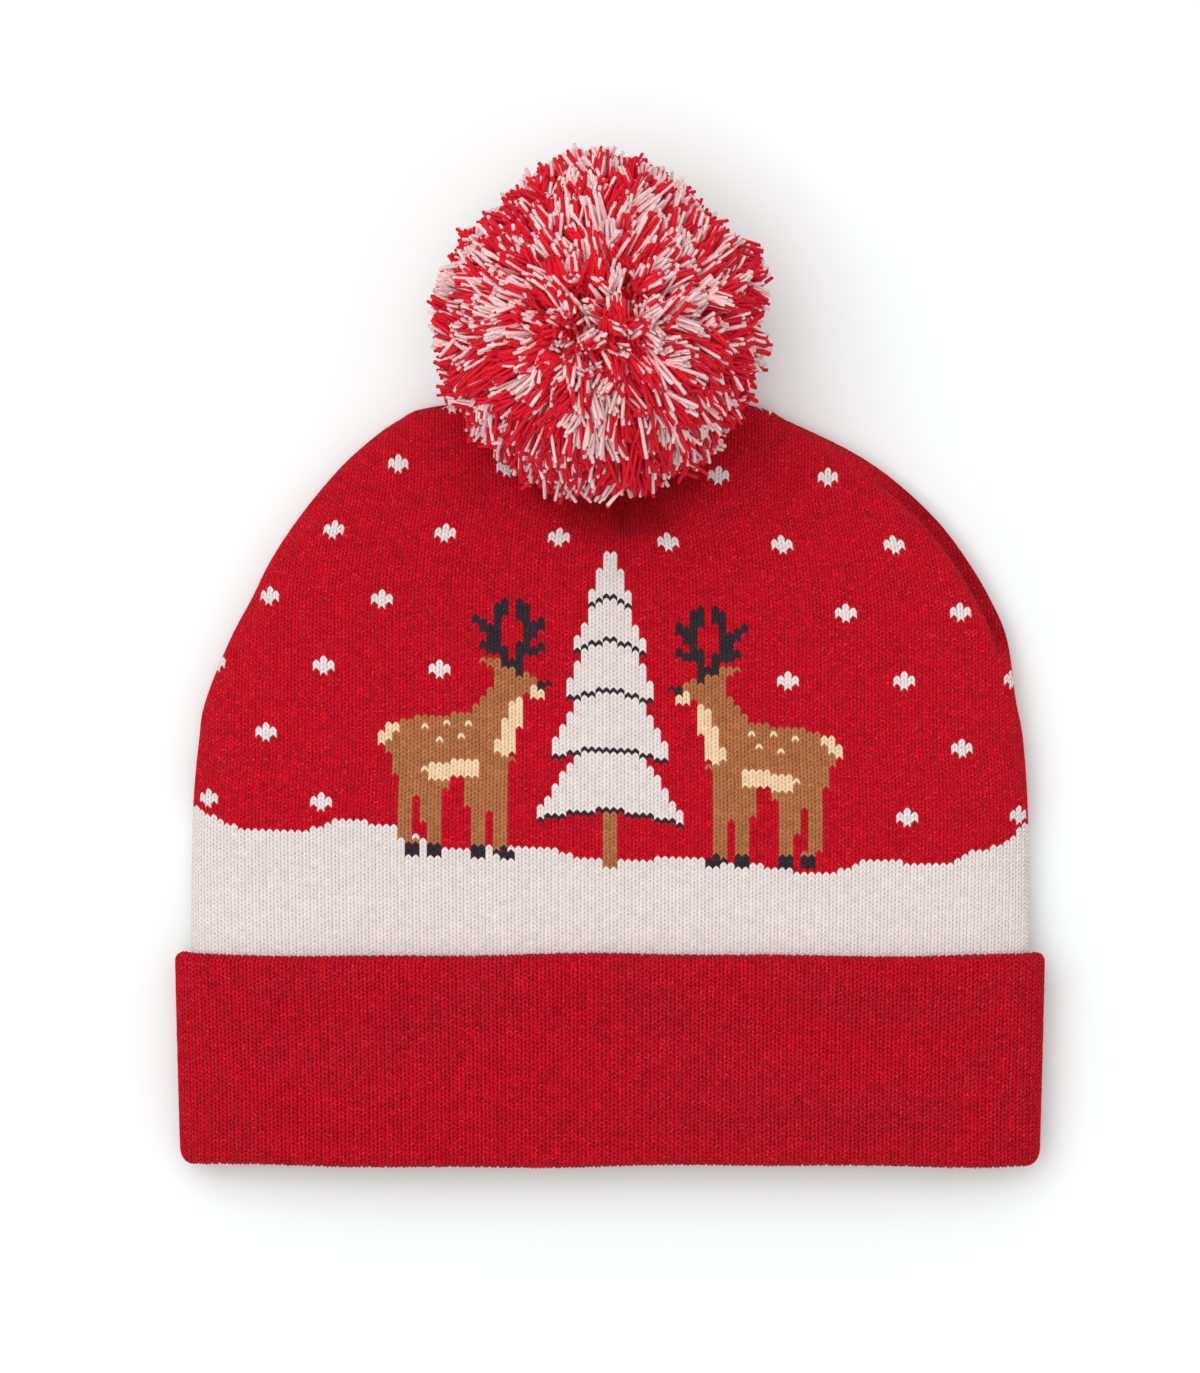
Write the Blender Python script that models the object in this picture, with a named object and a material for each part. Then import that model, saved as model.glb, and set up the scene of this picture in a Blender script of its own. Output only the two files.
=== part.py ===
"""A knitted bobble hat with a turned-up cuff, lying flat on its back.

Metres, +Z up. The hat lies with its front up: +X is to the right across the front, +Y runs from
the cuff's bottom fold towards the pompom, and the floor is z = 0. The origin is on the floor, at the
middle of the hat's length. Inside the functions, y is counted from the cuff's bottom fold, and one
empty moves everything back to the origin.
"""

import math
from collections import namedtuple

import bmesh
import bpy
import numpy as np
from mathutils import Matrix, Vector

MM = 0.001

# The crown: one knitted tube, laid flat, drawn in to a rounded top.
CROWN_WIDTH = 231 * MM
CROWN_LENGTH = 214.5 * MM
BODY_THICKNESS = 22 * MM
FABRIC = 2.5 * MM
BACK_ROUNDING = 9 * MM
FOLD_SHARE = 0.42
DOME_POWER = 5

# The cuff: the lower end of the knit turned up outside the crown, with a hemmed top edge.
CUFF_HEIGHT = 58.5 * MM
CUFF_LEAF = 4.2 * MM
CUFF_FOLD_DEPTH = 4.7 * MM
CUFF_SHELF = 1 * MM
SETTLE_RUN = 26 * MM

# The pompom: cut yarn in locks round a tight head, resting partly on the floor.
POMPOM_RADIUS = 46.4 * MM
POMPOM_SQUASH = 4.4 * MM
POMPOM_OVERLAP = 29.1 * MM
POMPOM_SIDE_SHIFT = -2.5 * MM
POMPOM_HEAD_SHARE = 0.88
POMPOM_CORE_SHARE = 0.70

# The tie: the doubled yarn that holds the pompom through the top of the crown.
TIE_RADIUS = 1.5 * MM
TIE_INSET = 11.6 * MM
TIE_SOCKET_DEPTH = 7 * MM
KNOT_RADIUS = 3 * MM
KNOT_LENGTH = 4.4 * MM

# Clearances between pieces that touch.
FIT_GAP = 0.3 * MM
POMPOM_CLEARANCE = 1.1 * MM

# Mesh fineness.
FRONT_STEPS = 26
BACK_STEPS = 12
LOCK_SPHERE_STEPS = 3
MARCH_STEP = 0.25 * MM
TIE_SIDES = 12

# Height as a share of CROWN_LENGTH, half-widths to the left and right as shares of half of
# CROWN_WIDTH, and thickness as a share of BODY_THICKNESS.
Section = namedtuple("Section", "height left right thickness")
CROWN_SECTIONS = (
    Section(0.000, 0.988, 0.988, 0.72),
    Section(0.270, 1.000, 1.000, 0.82),
    Section(0.444, 0.998, 1.000, 1.00),
    Section(0.547, 0.983, 0.988, 1.00),
    Section(0.598, 0.967, 0.971, 0.99),
    Section(0.676, 0.909, 0.950, 0.96),
    Section(0.727, 0.859, 0.911, 0.93),
    Section(0.779, 0.811, 0.854, 0.88),
    Section(0.830, 0.749, 0.782, 0.81),
    Section(0.882, 0.672, 0.679, 0.71),
    Section(0.920, 0.603, 0.574, 0.61),
    Section(0.959, 0.507, 0.423, 0.48),
    Section(0.978, 0.407, 0.340, 0.36),
    Section(1.000, 0.000, 0.000, 0.00),
)

# Soft dents in the front: place as shares of half of CROWN_WIDTH and of CROWN_LENGTH, reach as
# shares of CROWN_LENGTH, and depth as a share of BODY_THICKNESS. A negative depth is a swell.
Dent = namedtuple("Dent", "across up reach_across reach_up depth")
FRONT_DENTS = (
    Dent(0.04, 0.86, 0.045, 0.060, 0.20),
    Dent(-0.16, 0.85, 0.060, 0.050, -0.05),
    Dent(0.22, 0.86, 0.060, 0.050, -0.06),
    Dent(-0.45, 0.62, 0.120, 0.160, 0.05),
    Dent(0.50, 0.55, 0.110, 0.180, 0.05),
)

# The pompom's outline from above: angle in degrees from +X, and reach as a share of its radius.
Reach = namedtuple("Reach", "angle share")
POMPOM_OUTLINE = (
    Reach(0, 0.98),
    Reach(22, 1.00),
    Reach(45, 0.92),
    Reach(67, 0.97),
    Reach(90, 1.02),
    Reach(112, 0.97),
    Reach(135, 0.93),
    Reach(157, 0.98),
    Reach(180, 1.01),
    Reach(202, 1.00),
    Reach(225, 1.03),
    Reach(247, 1.06),
    Reach(270, 1.05),
    Reach(292, 1.06),
    Reach(315, 1.02),
    Reach(337, 1.00),
    Reach(360, 0.98),
)
LOCK_LENGTHS = (1.03, 1.00, 1.04, 1.02, 0.99)
LOCK_FLARE_INSET = 0.12
LOCK_FLARE_SHARE = 0.93
LOCK_TIP_SWAY = 0.04

YARN_COLOURS = {
    "crown": (0.45, 0.006, 0.018),
    "cuff": (0.47, 0.007, 0.019),
    "pompom": (0.72, 0.22, 0.24),
    "pompom_tie": (0.45, 0.006, 0.018),
}
YARN_ROUGHNESS = 0.9


def clear_scene():
    for thing in list(bpy.data.objects):
        bpy.data.objects.remove(thing, do_unlink=True)


def yarn_material(name):
    material = bpy.data.materials.new(name + "_yarn")
    material.use_nodes = True
    shader = material.node_tree.nodes["Principled BSDF"]
    shader.inputs["Base Color"].default_value = (*YARN_COLOURS[name], 1)
    shader.inputs["Roughness"].default_value = YARN_ROUGHNESS
    shader.inputs["Metallic"].default_value = 0
    return material


def add_piece(name, bm, parent):
    """A bmesh becomes a named object under the hat's empty, with its own yarn material."""
    mesh = bpy.data.meshes.new(name)
    bm.to_mesh(mesh)
    bm.free()
    mesh.shade_smooth()
    mesh.set_sharp_from_angle(angle=math.radians(50))
    piece = bpy.data.objects.new(name, mesh)
    piece.data.materials.append(yarn_material(name))
    piece.parent = parent
    bpy.context.scene.collection.objects.link(piece)
    return piece


def smooth_step(t):
    t = np.clip(t, 0, 1)
    return t * t * (3 - 2 * t)


def through_sections(t):
    """Catmull-Rom curve through the crown's sections. It crosses the top level, so the top is round."""
    table = np.array(CROWN_SECTIONS)
    before = 2 * table[0] - table[1]
    after = table[-2] * np.array([1, -1, -1, -1])
    points = np.vstack([before, table, after])
    t = np.clip(np.asarray(t, float), 0, len(table) - 1 - 1e-9)
    i = t.astype(int)
    f = (t - i)[..., None]
    p0, p1, p2, p3 = (points[i + k] for k in range(4))
    return 0.5 * (
        2 * p1
        + (p2 - p0) * f
        + (2 * p0 - 5 * p1 + 4 * p2 - p3) * f**2
        + (3 * p1 - p0 - 3 * p2 + p3) * f**3
    )


FINE_SECTIONS = through_sections(np.linspace(0, len(CROWN_SECTIONS) - 1, 800))
TOP_THICKNESS = CROWN_SECTIONS[-3].thickness * BODY_THICKNESS
CUFF_LIFT = CUFF_LEAF + FIT_GAP
CUFF_SHELF_HEIGHT = CUFF_FOLD_DEPTH + CUFF_SHELF
CROWN_HEM = CUFF_SHELF_HEIGHT + FIT_GAP
POMPOM_CENTRE = Vector((
    POMPOM_SIDE_SHIFT,
    CROWN_LENGTH + POMPOM_RADIUS - POMPOM_OVERLAP,
    POMPOM_RADIUS - POMPOM_SQUASH,
))


def section_at(y, offset=0.0):
    """Middle, half-width, lower thickness, upper thickness and fold level of the crown at height y.

    offset grows the section outwards all round, as for the cuff that wraps it.
    """
    height = np.clip(np.asarray(y, float) / CROWN_LENGTH, 0, 1)
    left, right, thick = (
        np.interp(height, FINE_SECTIONS[:, 0], FINE_SECTIONS[:, k]) for k in (1, 2, 3)
    )
    middle = (right - left) / 2 * CROWN_WIDTH / 2
    half = (right + left) / 2 * CROWN_WIDTH / 2
    thick = np.maximum(thick, 0) * BODY_THICKNESS
    lift = CUFF_LIFT * (1 - smooth_step((np.asarray(y, float) - CUFF_HEIGHT) / SETTLE_RUN))
    level = lift + FOLD_SHARE * np.where(height > 0.9, np.maximum(thick, TOP_THICKNESS), thick)
    return (
        middle,
        half + offset,
        FOLD_SHARE * thick + offset,
        (1 - FOLD_SHARE) * thick + offset,
        level,
    )


def dent_depth(x, y):
    """How far the front is pressed in at (x, y), from the table of dents."""
    total = np.zeros(np.broadcast(x, y).shape)
    for dent in FRONT_DENTS:
        across = (x - dent.across * CROWN_WIDTH / 2) / (dent.reach_across * CROWN_LENGTH)
        up = (y - dent.up * CROWN_LENGTH) / (dent.reach_up * CROWN_LENGTH)
        total += dent.depth * BODY_THICKNESS * np.exp(-(across**2) - up**2)
    return total


def front_height(share, y, offset=0.0):
    """Height of the front surface. share runs from -1 at the left fold to 1 at the right fold."""
    middle, half, _, upper, level = section_at(y, offset)
    share = np.clip(share, -1, 1)
    dome = np.sqrt(1 - np.abs(share) ** DOME_POWER)
    dented = dent_depth(middle + half * share, y) * (1 - share**4)
    return level + upper * dome - dented * smooth_step(upper / (0.2 * BODY_THICKNESS))


def back_height(share, y, offset=0.0):
    """Height of the back surface: flat on the floor, rounded up to the folds at both sides."""
    _, half, lower, _, level = section_at(y, offset)
    share = np.clip(share, -1, 1)
    rounding = np.minimum(BACK_ROUNDING + offset, 0.9 * half + 1e-9)
    into = np.clip((np.abs(share) * half - (half - rounding)) / rounding, 0, 1)
    return level - lower * np.sqrt(1 - into**2)


def ring(y, offset=0.0):
    """One closed loop of points round the flat tube, left fold to right fold and back beneath."""
    front = np.sin(math.pi / 2 * np.linspace(-1, 1, FRONT_STEPS + 1))
    back = np.sin(math.pi / 2 * np.linspace(1, -1, BACK_STEPS + 1))[1:-1]
    middle, half, *_ = section_at(y, offset)
    top = [(middle + half * s, y, front_height(s, y, offset)) for s in front]
    under = [(middle + half * s, y, back_height(s, y, offset)) for s in back]
    return [Vector([float(v) for v in p]) for p in top + under]


def skin(bm, rings):
    """Faces between neighbouring rings, each a list of the same number of vertices."""
    for low, high in zip(rings, rings[1:]):
        count = len(low)
        for k in range(count):
            bm.faces.new((low[k], high[k], high[(k + 1) % count], low[(k + 1) % count]))


def cylinder_between(name, start, end, radius, parent):
    """A hidden cutter for a round hole from start to end."""
    bm = bmesh.new()
    length = (end - start).length
    turn = (end - start).to_track_quat("Z", "Y").to_matrix().to_4x4()
    place = Matrix.Translation((start + end) / 2) @ turn
    bmesh.ops.create_cone(
        bm,
        cap_ends=True,
        segments=TIE_SIDES,
        radius1=radius,
        radius2=radius,
        depth=length,
        matrix=place,
    )
    mesh = bpy.data.meshes.new(name)
    bm.to_mesh(mesh)
    bm.free()
    cutter = bpy.data.objects.new(name, mesh)
    cutter.parent = parent
    cutter.hide_render = True
    cutter.display_type = "WIRE"
    bpy.context.scene.collection.objects.link(cutter)
    return cutter


def cut_hole(piece, cutter):
    hole = piece.modifiers.new("tie_hole", "BOOLEAN")
    hole.operation = "DIFFERENCE"
    hole.solver = "EXACT"
    hole.object = cutter


def crown_heights():
    """Heights of the crown's rings: even behind the cuff, then following the sections."""
    behind_cuff = np.linspace(CROWN_HEM, CUFF_HEIGHT, 4)
    settling = CUFF_HEIGHT + SETTLE_RUN * np.array([0.25, 0.5, 0.75, 1.0])
    shares = np.array([s.height for s in CROWN_SECTIONS])
    start = np.searchsorted(shares * CROWN_LENGTH, settling[-1] + 0.03 * CROWN_LENGTH)
    steps = np.arange(start, len(shares) - 1 + 1e-9, 0.5)[:-1]
    upper = through_sections(steps)[:, 0] * CROWN_LENGTH
    near_top = through_sections(len(shares) - 1 - np.array([0.25, 0.1]))[:, 0] * CROWN_LENGTH
    return np.concatenate([behind_cuff, settling, upper, near_top])


def make_crown(parent):
    """The outer face of the knit from hem to top, given its wall inwards by a Solidify modifier."""
    bm = bmesh.new()
    rings = [[bm.verts.new(p) for p in ring(y)] for y in crown_heights()]
    skin(bm, rings)
    middle, _, _, _, level = section_at(CROWN_LENGTH)
    apex = bm.verts.new((float(middle), CROWN_LENGTH, float(level)))
    last = rings[-1]
    for k in range(len(last)):
        bm.faces.new((last[k], apex, last[(k + 1) % len(last)]))
    bmesh.ops.recalc_face_normals(bm, faces=bm.faces)
    crown = add_piece("crown", bm, parent)
    wall = crown.modifiers.new("wall", "SOLIDIFY")
    wall.thickness = FABRIC
    wall.offset = -1
    wall.use_rim = True
    return crown


def cuff_profile():
    """The cuff's cut edge as (offset from the crown's face, height), once round."""
    inner = FIT_GAP
    outer = FIT_GAP + CUFF_LEAF
    edge = CUFF_LEAF / 2
    fold_half = (outer + FABRIC) / 2
    fold_middle = (outer - FABRIC) / 2
    climb = [(inner, y) for y in np.linspace(CUFF_SHELF_HEIGHT, CUFF_HEIGHT - edge, 4)]
    over = [
        (inner + edge - edge * math.cos(a), CUFF_HEIGHT - edge + edge * math.sin(a))
        for a in np.linspace(0, math.pi, 6)[1:]
    ]
    down = [(outer, y) for y in np.linspace(CUFF_HEIGHT - edge, CUFF_FOLD_DEPTH, 4)[1:]]
    under = [
        (fold_middle + fold_half * math.cos(a), CUFF_FOLD_DEPTH * (1 - math.sin(a)))
        for a in np.linspace(0, math.pi, 8)[1:]
    ]
    return climb + over + down + under + [(-FABRIC, CUFF_SHELF_HEIGHT)]


def make_cuff(parent):
    """The turned-up cuff: its profile carried round the crown, closed on itself."""
    bm = bmesh.new()
    rings = [
        [bm.verts.new(p) for p in ring(float(y), float(offset))] for offset, y in cuff_profile()
    ]
    skin(bm, rings + [rings[0]])
    bmesh.ops.recalc_face_normals(bm, faces=bm.faces)
    return add_piece("cuff", bm, parent)


def tie_point():
    """Where the tie leaves the crown's front, below the pompom."""
    y = CROWN_LENGTH - TIE_INSET
    middle, half, *_ = section_at(y)
    share = (POMPOM_SIDE_SHIFT - middle) / half
    return Vector((POMPOM_SIDE_SHIFT, y, float(front_height(share, y))))


def inside_crown(points, margin):
    """Which of the points lie in the crown's outer form, grown by margin on every side."""
    x, y, z = points[..., 0], points[..., 1] - margin, points[..., 2]
    middle, half, *_ = section_at(y, margin)
    share = (x - middle) / half
    within = (np.abs(share) <= 1) & (y <= CROWN_LENGTH) & (y > 0)
    return within & (z <= front_height(share, y, margin)) & (z >= back_height(share, y, margin))


def lock_reach(direction, wanted):
    """How far a lock may run from the pompom's centre before it meets the floor or the crown."""
    steps = np.arange(POMPOM_CORE_SHARE * POMPOM_RADIUS, wanted, MARCH_STEP)
    if len(steps) == 0:
        return wanted
    points = np.array(POMPOM_CENTRE) + steps[:, None] * np.array(direction)
    hits = np.flatnonzero(inside_crown(points, POMPOM_CLEARANCE))
    reach = steps[max(hits[0] - 1, 0)] if len(hits) else wanted
    if direction.z < 0:
        reach = min(reach, POMPOM_CENTRE.z / -direction.z)
    return reach


def outline_share(direction):
    """The outline's share at this direction's angle from above, fading towards the top and bottom."""
    angle = math.degrees(math.atan2(direction.y, direction.x)) % 360
    share = np.interp(angle, [r.angle for r in POMPOM_OUTLINE], [r.share for r in POMPOM_OUTLINE])
    return 1 + (share - 1) * (1 - direction.z**2)


def pompom_tiles(axis):
    """Unit directions of each lock's middle and of the corners of its tile on the sphere.

    Each vertex of a fine icosphere is a lock, and the middles of the faces round it are its corners.
    One vertex lies on the tie's axis.
    """
    globe = bmesh.new()
    bmesh.ops.create_icosphere(globe, subdivisions=LOCK_SPHERE_STEPS, radius=1)
    turn = Vector((0, 0, -1)).rotation_difference(axis)
    tiles = []
    for vert in globe.verts:
        middle = vert.co.normalized()
        aside = middle.orthogonal().normalized()
        ahead = middle.cross(aside)
        corners = []
        for face in vert.link_faces:
            corner = face.calc_center_median().normalized()
            bearing = math.atan2(corner.dot(ahead), corner.dot(aside))
            corners.append((bearing, face.index, turn @ corner))
        corners.sort()
        tiles.append((turn @ middle, [(index, corner) for _, index, corner in corners]))
    globe.free()
    return tiles


def make_pompom(parent):
    """A tight head whose every tile rises into one flared lock with a pointed tip."""
    axis = (tie_point() - POMPOM_CENTRE).normalized()
    head = POMPOM_HEAD_SHARE * POMPOM_RADIUS
    bm = bmesh.new()
    shared = {}

    def vertex(direction, wanted):
        return bm.verts.new(POMPOM_CENTRE + direction * lock_reach(direction, wanted))

    for number, (middle, corners) in enumerate(pompom_tiles(axis)):
        length = POMPOM_RADIUS * outline_share(middle) * LOCK_LENGTHS[number % len(LOCK_LENGTHS)]
        for index, corner in corners:
            if index not in shared:
                shared[index] = vertex(corner, head * outline_share(corner))
        valley = [shared[index] for index, _ in corners]
        flare = [
            vertex(corner.lerp(middle, LOCK_FLARE_INSET).normalized(), length * LOCK_FLARE_SHARE)
            for _, corner in corners
        ]
        sway = middle.orthogonal().normalized() * LOCK_TIP_SWAY
        sway.rotate(Matrix.Rotation(number, 3, middle))
        tip = vertex((middle + sway).normalized(), length)
        skin(bm, [valley, flare])
        for k in range(len(flare)):
            bm.faces.new((flare[k], tip, flare[(k + 1) % len(flare)]))
    bmesh.ops.recalc_face_normals(bm, faces=bm.faces)
    return add_piece("pompom", bm, parent)


def make_tie(parent):
    """Yarn from the pompom's head through the crown's wall to a knot inside, turned about its axis.

    Returns the tie and the cutter of the hole that it runs in.
    """
    surface = tie_point()
    axis = (surface - POMPOM_CENTRE).normalized()
    slope = section_slope(surface.y)
    outward = Vector((0, -slope, 1)).normalized()
    tilt = max(-axis.dot(outward), 0.5)
    lean = math.sqrt(1 - tilt**2) / tilt
    start = POMPOM_CORE_SHARE * POMPOM_RADIUS - TIE_SOCKET_DEPTH
    wall_end = (surface - POMPOM_CENTRE).length + FABRIC / tilt
    knot = wall_end + FIT_GAP + KNOT_RADIUS * lean
    profile = (
        (start, TIE_RADIUS),
        (knot, TIE_RADIUS),
        (knot + 0.15 * KNOT_LENGTH, 0.85 * KNOT_RADIUS),
        (knot + 0.50 * KNOT_LENGTH, KNOT_RADIUS),
        (knot + 0.85 * KNOT_LENGTH, 0.75 * KNOT_RADIUS),
        (knot + KNOT_LENGTH, 0.35 * KNOT_RADIUS),
    )
    turn = axis.to_track_quat("Z", "Y")
    bm = bmesh.new()
    rings = []
    for distance, radius in profile:
        rings.append([
            bm.verts.new(
                POMPOM_CENTRE
                + axis * distance
                + turn @ Vector((math.cos(a), math.sin(a), 0)) * radius
            )
            for a in np.linspace(0, 2 * math.pi, TIE_SIDES, endpoint=False)
        ])
    skin(bm, rings)
    bm.faces.new(rings[0])
    bm.faces.new(rings[-1])
    bmesh.ops.recalc_face_normals(bm, faces=bm.faces)
    tie = add_piece("pompom_tie", bm, parent)
    cutter = cylinder_between(
        "tie_bore",
        POMPOM_CENTRE + axis * (start - FIT_GAP),
        POMPOM_CENTRE + axis * (knot + 0.15 * KNOT_LENGTH),
        TIE_RADIUS + FIT_GAP,
        parent,
    )
    return tie, cutter


def section_slope(y):
    """Rise of the crown's front per metre along it, at the tie's side shift."""
    step = 1 * MM
    heights = []
    for place in (y - step, y + step):
        middle, half, *_ = section_at(place)
        heights.append(float(front_height((POMPOM_SIDE_SHIFT - middle) / half, place)))
    return (heights[1] - heights[0]) / (2 * step)


def main():
    clear_scene()
    length = POMPOM_CENTRE.y + POMPOM_RADIUS * outline_share(Vector((0, 1, 0)))
    hat = bpy.data.objects.new("hat", None)
    hat.location = (0, -length / 2, 0)
    bpy.context.scene.collection.objects.link(hat)
    crown = make_crown(hat)
    make_cuff(hat)
    pompom = make_pompom(hat)
    _, bore = make_tie(hat)
    cut_hole(crown, bore)
    cut_hole(pompom, bore)


main()
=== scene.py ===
# %% [markdown]
# # A knitted bobble hat
#
# This script dresses the CAD model of a winter hat: a knitted crown with a picture in its front, a
# turned-up cuff and a pompom of cut yarn. The hat lies on its back on a pale table, seen from above.
# Everything is in metres with +Z up, and the CAD model has settled every size before this begins.

# %% Load the CAD model
from collections import namedtuple

import bpy
import numpy as np
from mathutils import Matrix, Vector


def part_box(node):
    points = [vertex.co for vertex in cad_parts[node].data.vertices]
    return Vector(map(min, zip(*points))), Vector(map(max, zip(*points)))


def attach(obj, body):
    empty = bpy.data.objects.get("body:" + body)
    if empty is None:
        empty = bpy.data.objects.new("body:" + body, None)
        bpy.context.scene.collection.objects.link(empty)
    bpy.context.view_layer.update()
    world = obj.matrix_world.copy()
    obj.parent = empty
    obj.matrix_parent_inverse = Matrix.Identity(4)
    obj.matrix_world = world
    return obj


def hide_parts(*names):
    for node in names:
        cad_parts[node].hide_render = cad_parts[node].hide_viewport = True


MM = 0.001

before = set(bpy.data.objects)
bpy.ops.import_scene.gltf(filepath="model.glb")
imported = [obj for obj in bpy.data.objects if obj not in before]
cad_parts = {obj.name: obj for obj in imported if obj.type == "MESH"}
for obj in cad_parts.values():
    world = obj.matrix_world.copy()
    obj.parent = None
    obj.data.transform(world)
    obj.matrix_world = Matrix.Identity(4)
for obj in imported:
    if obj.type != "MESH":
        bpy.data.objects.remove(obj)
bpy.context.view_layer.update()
print("CAD nodes:", ", ".join(sorted(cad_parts)))

# %% [markdown]
# A real hat of this kind is a wide tube of stockinette. Laid flat, each slice across it is a closed
# loop: a flat back on the table, a gently domed front, and a rounded fold at either side. So one
# small table can describe the whole body: for each height, the half-widths to the left and right and
# the thickness, all as shares of the named sizes. The table is the same as the CAD model's, and a
# smooth curve is drawn through it so that no corner shows in the outline.

# %% Sizes of the crown
CROWN_WIDTH = 231 * MM
CROWN_LENGTH = 214.5 * MM
BODY_THICKNESS = 22 * MM
FABRIC = 2.5 * MM
BACK_ROUNDING = 9 * MM
FOLD_SHARE = 0.42
DOME_POWER = 5
FIT_GAP = 0.3 * MM
CUFF_HEIGHT = 58.5 * MM
CUFF_LEAF = 4.2 * MM
CUFF_FOLD_DEPTH = 4.7 * MM
CUFF_SHELF = 1 * MM
SETTLE_RUN = 26 * MM
CROWN_HEM = CUFF_FOLD_DEPTH + CUFF_SHELF + FIT_GAP
CUFF_FOLD_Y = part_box("crown")[1].y - CROWN_LENGTH

Section = namedtuple("Section", "height left right thickness")
CROWN_SECTIONS = (
    Section(0.000, 0.988, 0.988, 0.72),
    Section(0.270, 1.000, 1.000, 0.82),
    Section(0.444, 0.998, 1.000, 1.00),
    Section(0.547, 0.983, 0.988, 1.00),
    Section(0.598, 0.967, 0.971, 0.99),
    Section(0.676, 0.909, 0.950, 0.96),
    Section(0.727, 0.859, 0.911, 0.93),
    Section(0.779, 0.811, 0.854, 0.88),
    Section(0.830, 0.749, 0.782, 0.81),
    Section(0.882, 0.672, 0.679, 0.71),
    Section(0.920, 0.603, 0.574, 0.61),
    Section(0.959, 0.507, 0.423, 0.48),
    Section(0.978, 0.407, 0.340, 0.36),
    Section(1.000, 0.000, 0.000, 0.00),
)
TOP_THICKNESS = CROWN_SECTIONS[-3].thickness * BODY_THICKNESS
print(f"hat y = 0 lies at world y = {CUFF_FOLD_Y * 1000:.2f} mm")


# %% The outline as a smooth curve
def smooth_step(t):
    """0 below 0, 1 above 1, and 3t^2 - 2t^3 between."""
    t = np.clip(t, 0, 1)
    return t * t * (3 - 2 * t)


def through_sections(t):
    """Catmull-Rom curve: near row i it blends rows i-1 to i+2 with cubic weights."""
    table = np.array(CROWN_SECTIONS)
    before = 2 * table[0] - table[1]
    after = table[-2] * np.array([1, -1, -1, -1])
    points = np.vstack([before, table, after])
    t = np.clip(t, 0, len(table) - 1 - 1e-9)
    i = t.astype(int)
    f = (t - i)[:, None]
    p0, p1, p2, p3 = (points[i + k] for k in range(4))
    cubic = (2 * p0 - 5 * p1 + 4 * p2 - p3) * f**2 + (3 * p1 - p0 - 3 * p2 + p3) * f**3
    return 0.5 * (2 * p1 + (p2 - p0) * f + cubic)


FINE_SECTIONS = through_sections(np.linspace(0, len(CROWN_SECTIONS) - 1, 800))


def section(y, offset=0.0):
    """Middle, half-width, lower and upper thickness, and fold level at hat height y.

    offset grows the slice outwards all round, as for the cuff. Under the cuff the crown is lifted by
    the cuff's leaf, and it settles onto the table above it.
    """
    height = np.clip(y / CROWN_LENGTH, 0, 1)
    left, right, thick = (
        np.interp(height, FINE_SECTIONS[:, 0], FINE_SECTIONS[:, k]) for k in (1, 2, 3)
    )
    middle = (right - left) / 2 * CROWN_WIDTH / 2
    half = (right + left) / 2 * CROWN_WIDTH / 2
    thick = np.maximum(thick, 0) * BODY_THICKNESS
    lift = (CUFF_LEAF + FIT_GAP) * (1 - smooth_step((y - CUFF_HEIGHT) / SETTLE_RUN))
    level = lift + FOLD_SHARE * np.where(height > 0.9, np.maximum(thick, TOP_THICKNESS), thick)
    lower = FOLD_SHARE * thick + offset
    upper = (1 - FOLD_SHARE) * thick + offset
    return middle, half + offset, lower, upper, level


print("widest half-slice:", round(float(section(np.array([70 * MM]))[1][0]) * 1000, 1), "mm")

# %% [markdown]
# Cloth never lies quite even. The long front sags a little, and each sag is a bell-shaped dent in a
# table. Below the pompom the crown is gathered by its tie, into a bowl with a raised lip, creases that
# run out from it, and one sharp tuck to its right. A seam climbs the right-hand shoulder, as a ridge
# with a lower band outside it. A simulation could make such folds too, but these few are the ones that
# the real hat shows, so they are given one by one.

# %% Dents and creases of the front
Dent = namedtuple("Dent", "across up reach_across reach_up depth")
FRONT_DENTS = (
    Dent(0.04, 0.86, 0.045, 0.060, 0.20),
    Dent(-0.16, 0.85, 0.060, 0.050, -0.05),
    Dent(0.22, 0.86, 0.060, 0.050, -0.06),
    Dent(-0.45, 0.62, 0.120, 0.160, 0.05),
    Dent(0.50, 0.55, 0.110, 0.180, 0.05),
)
GATHER_X = 3 * MM
GATHER_Y = 194 * MM
GATHER_DEPTH = 5 * MM
GATHER_RIM = 22 * MM
GATHER_LIP = 1.2 * MM
GATHER_END = 189 * MM
TUCK_DEPTH = 4.5 * MM
TUCK_FACE = 1.4 * MM
TUCK_RUN = 7 * MM
TUCK_START = 172 * MM
CREASE_COUNT = 9
CREASE_HEIGHT = 0.8 * MM
CREASE_REACH = 26 * MM
SEAM_INSET = 4.2 * MM
SEAM_RIDGE = 0.7 * MM
SEAM_STEP = 5 * MM
SEAM_PAINTED_SHADE = 0.30
SEAM_LOW = 138 * MM
SEAM_HIGH = 196 * MM
GATHER_PULL = 0.36
PULL_ACROSS = 15 * MM
PULL_ALONG = 17 * MM


def dent_depth(x, y):
    """Sum of bells, each depth * exp(-across^2 - up^2)."""
    total = np.zeros(np.broadcast(x, y).shape)
    for dent in FRONT_DENTS:
        across = (x - dent.across * CROWN_WIDTH / 2) / (dent.reach_across * CROWN_LENGTH)
        up = (y - dent.up * CROWN_LENGTH) / (dent.reach_up * CROWN_LENGTH)
        total += dent.depth * BODY_THICKNESS * np.exp(-(across**2) - up**2)
    return total


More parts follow.
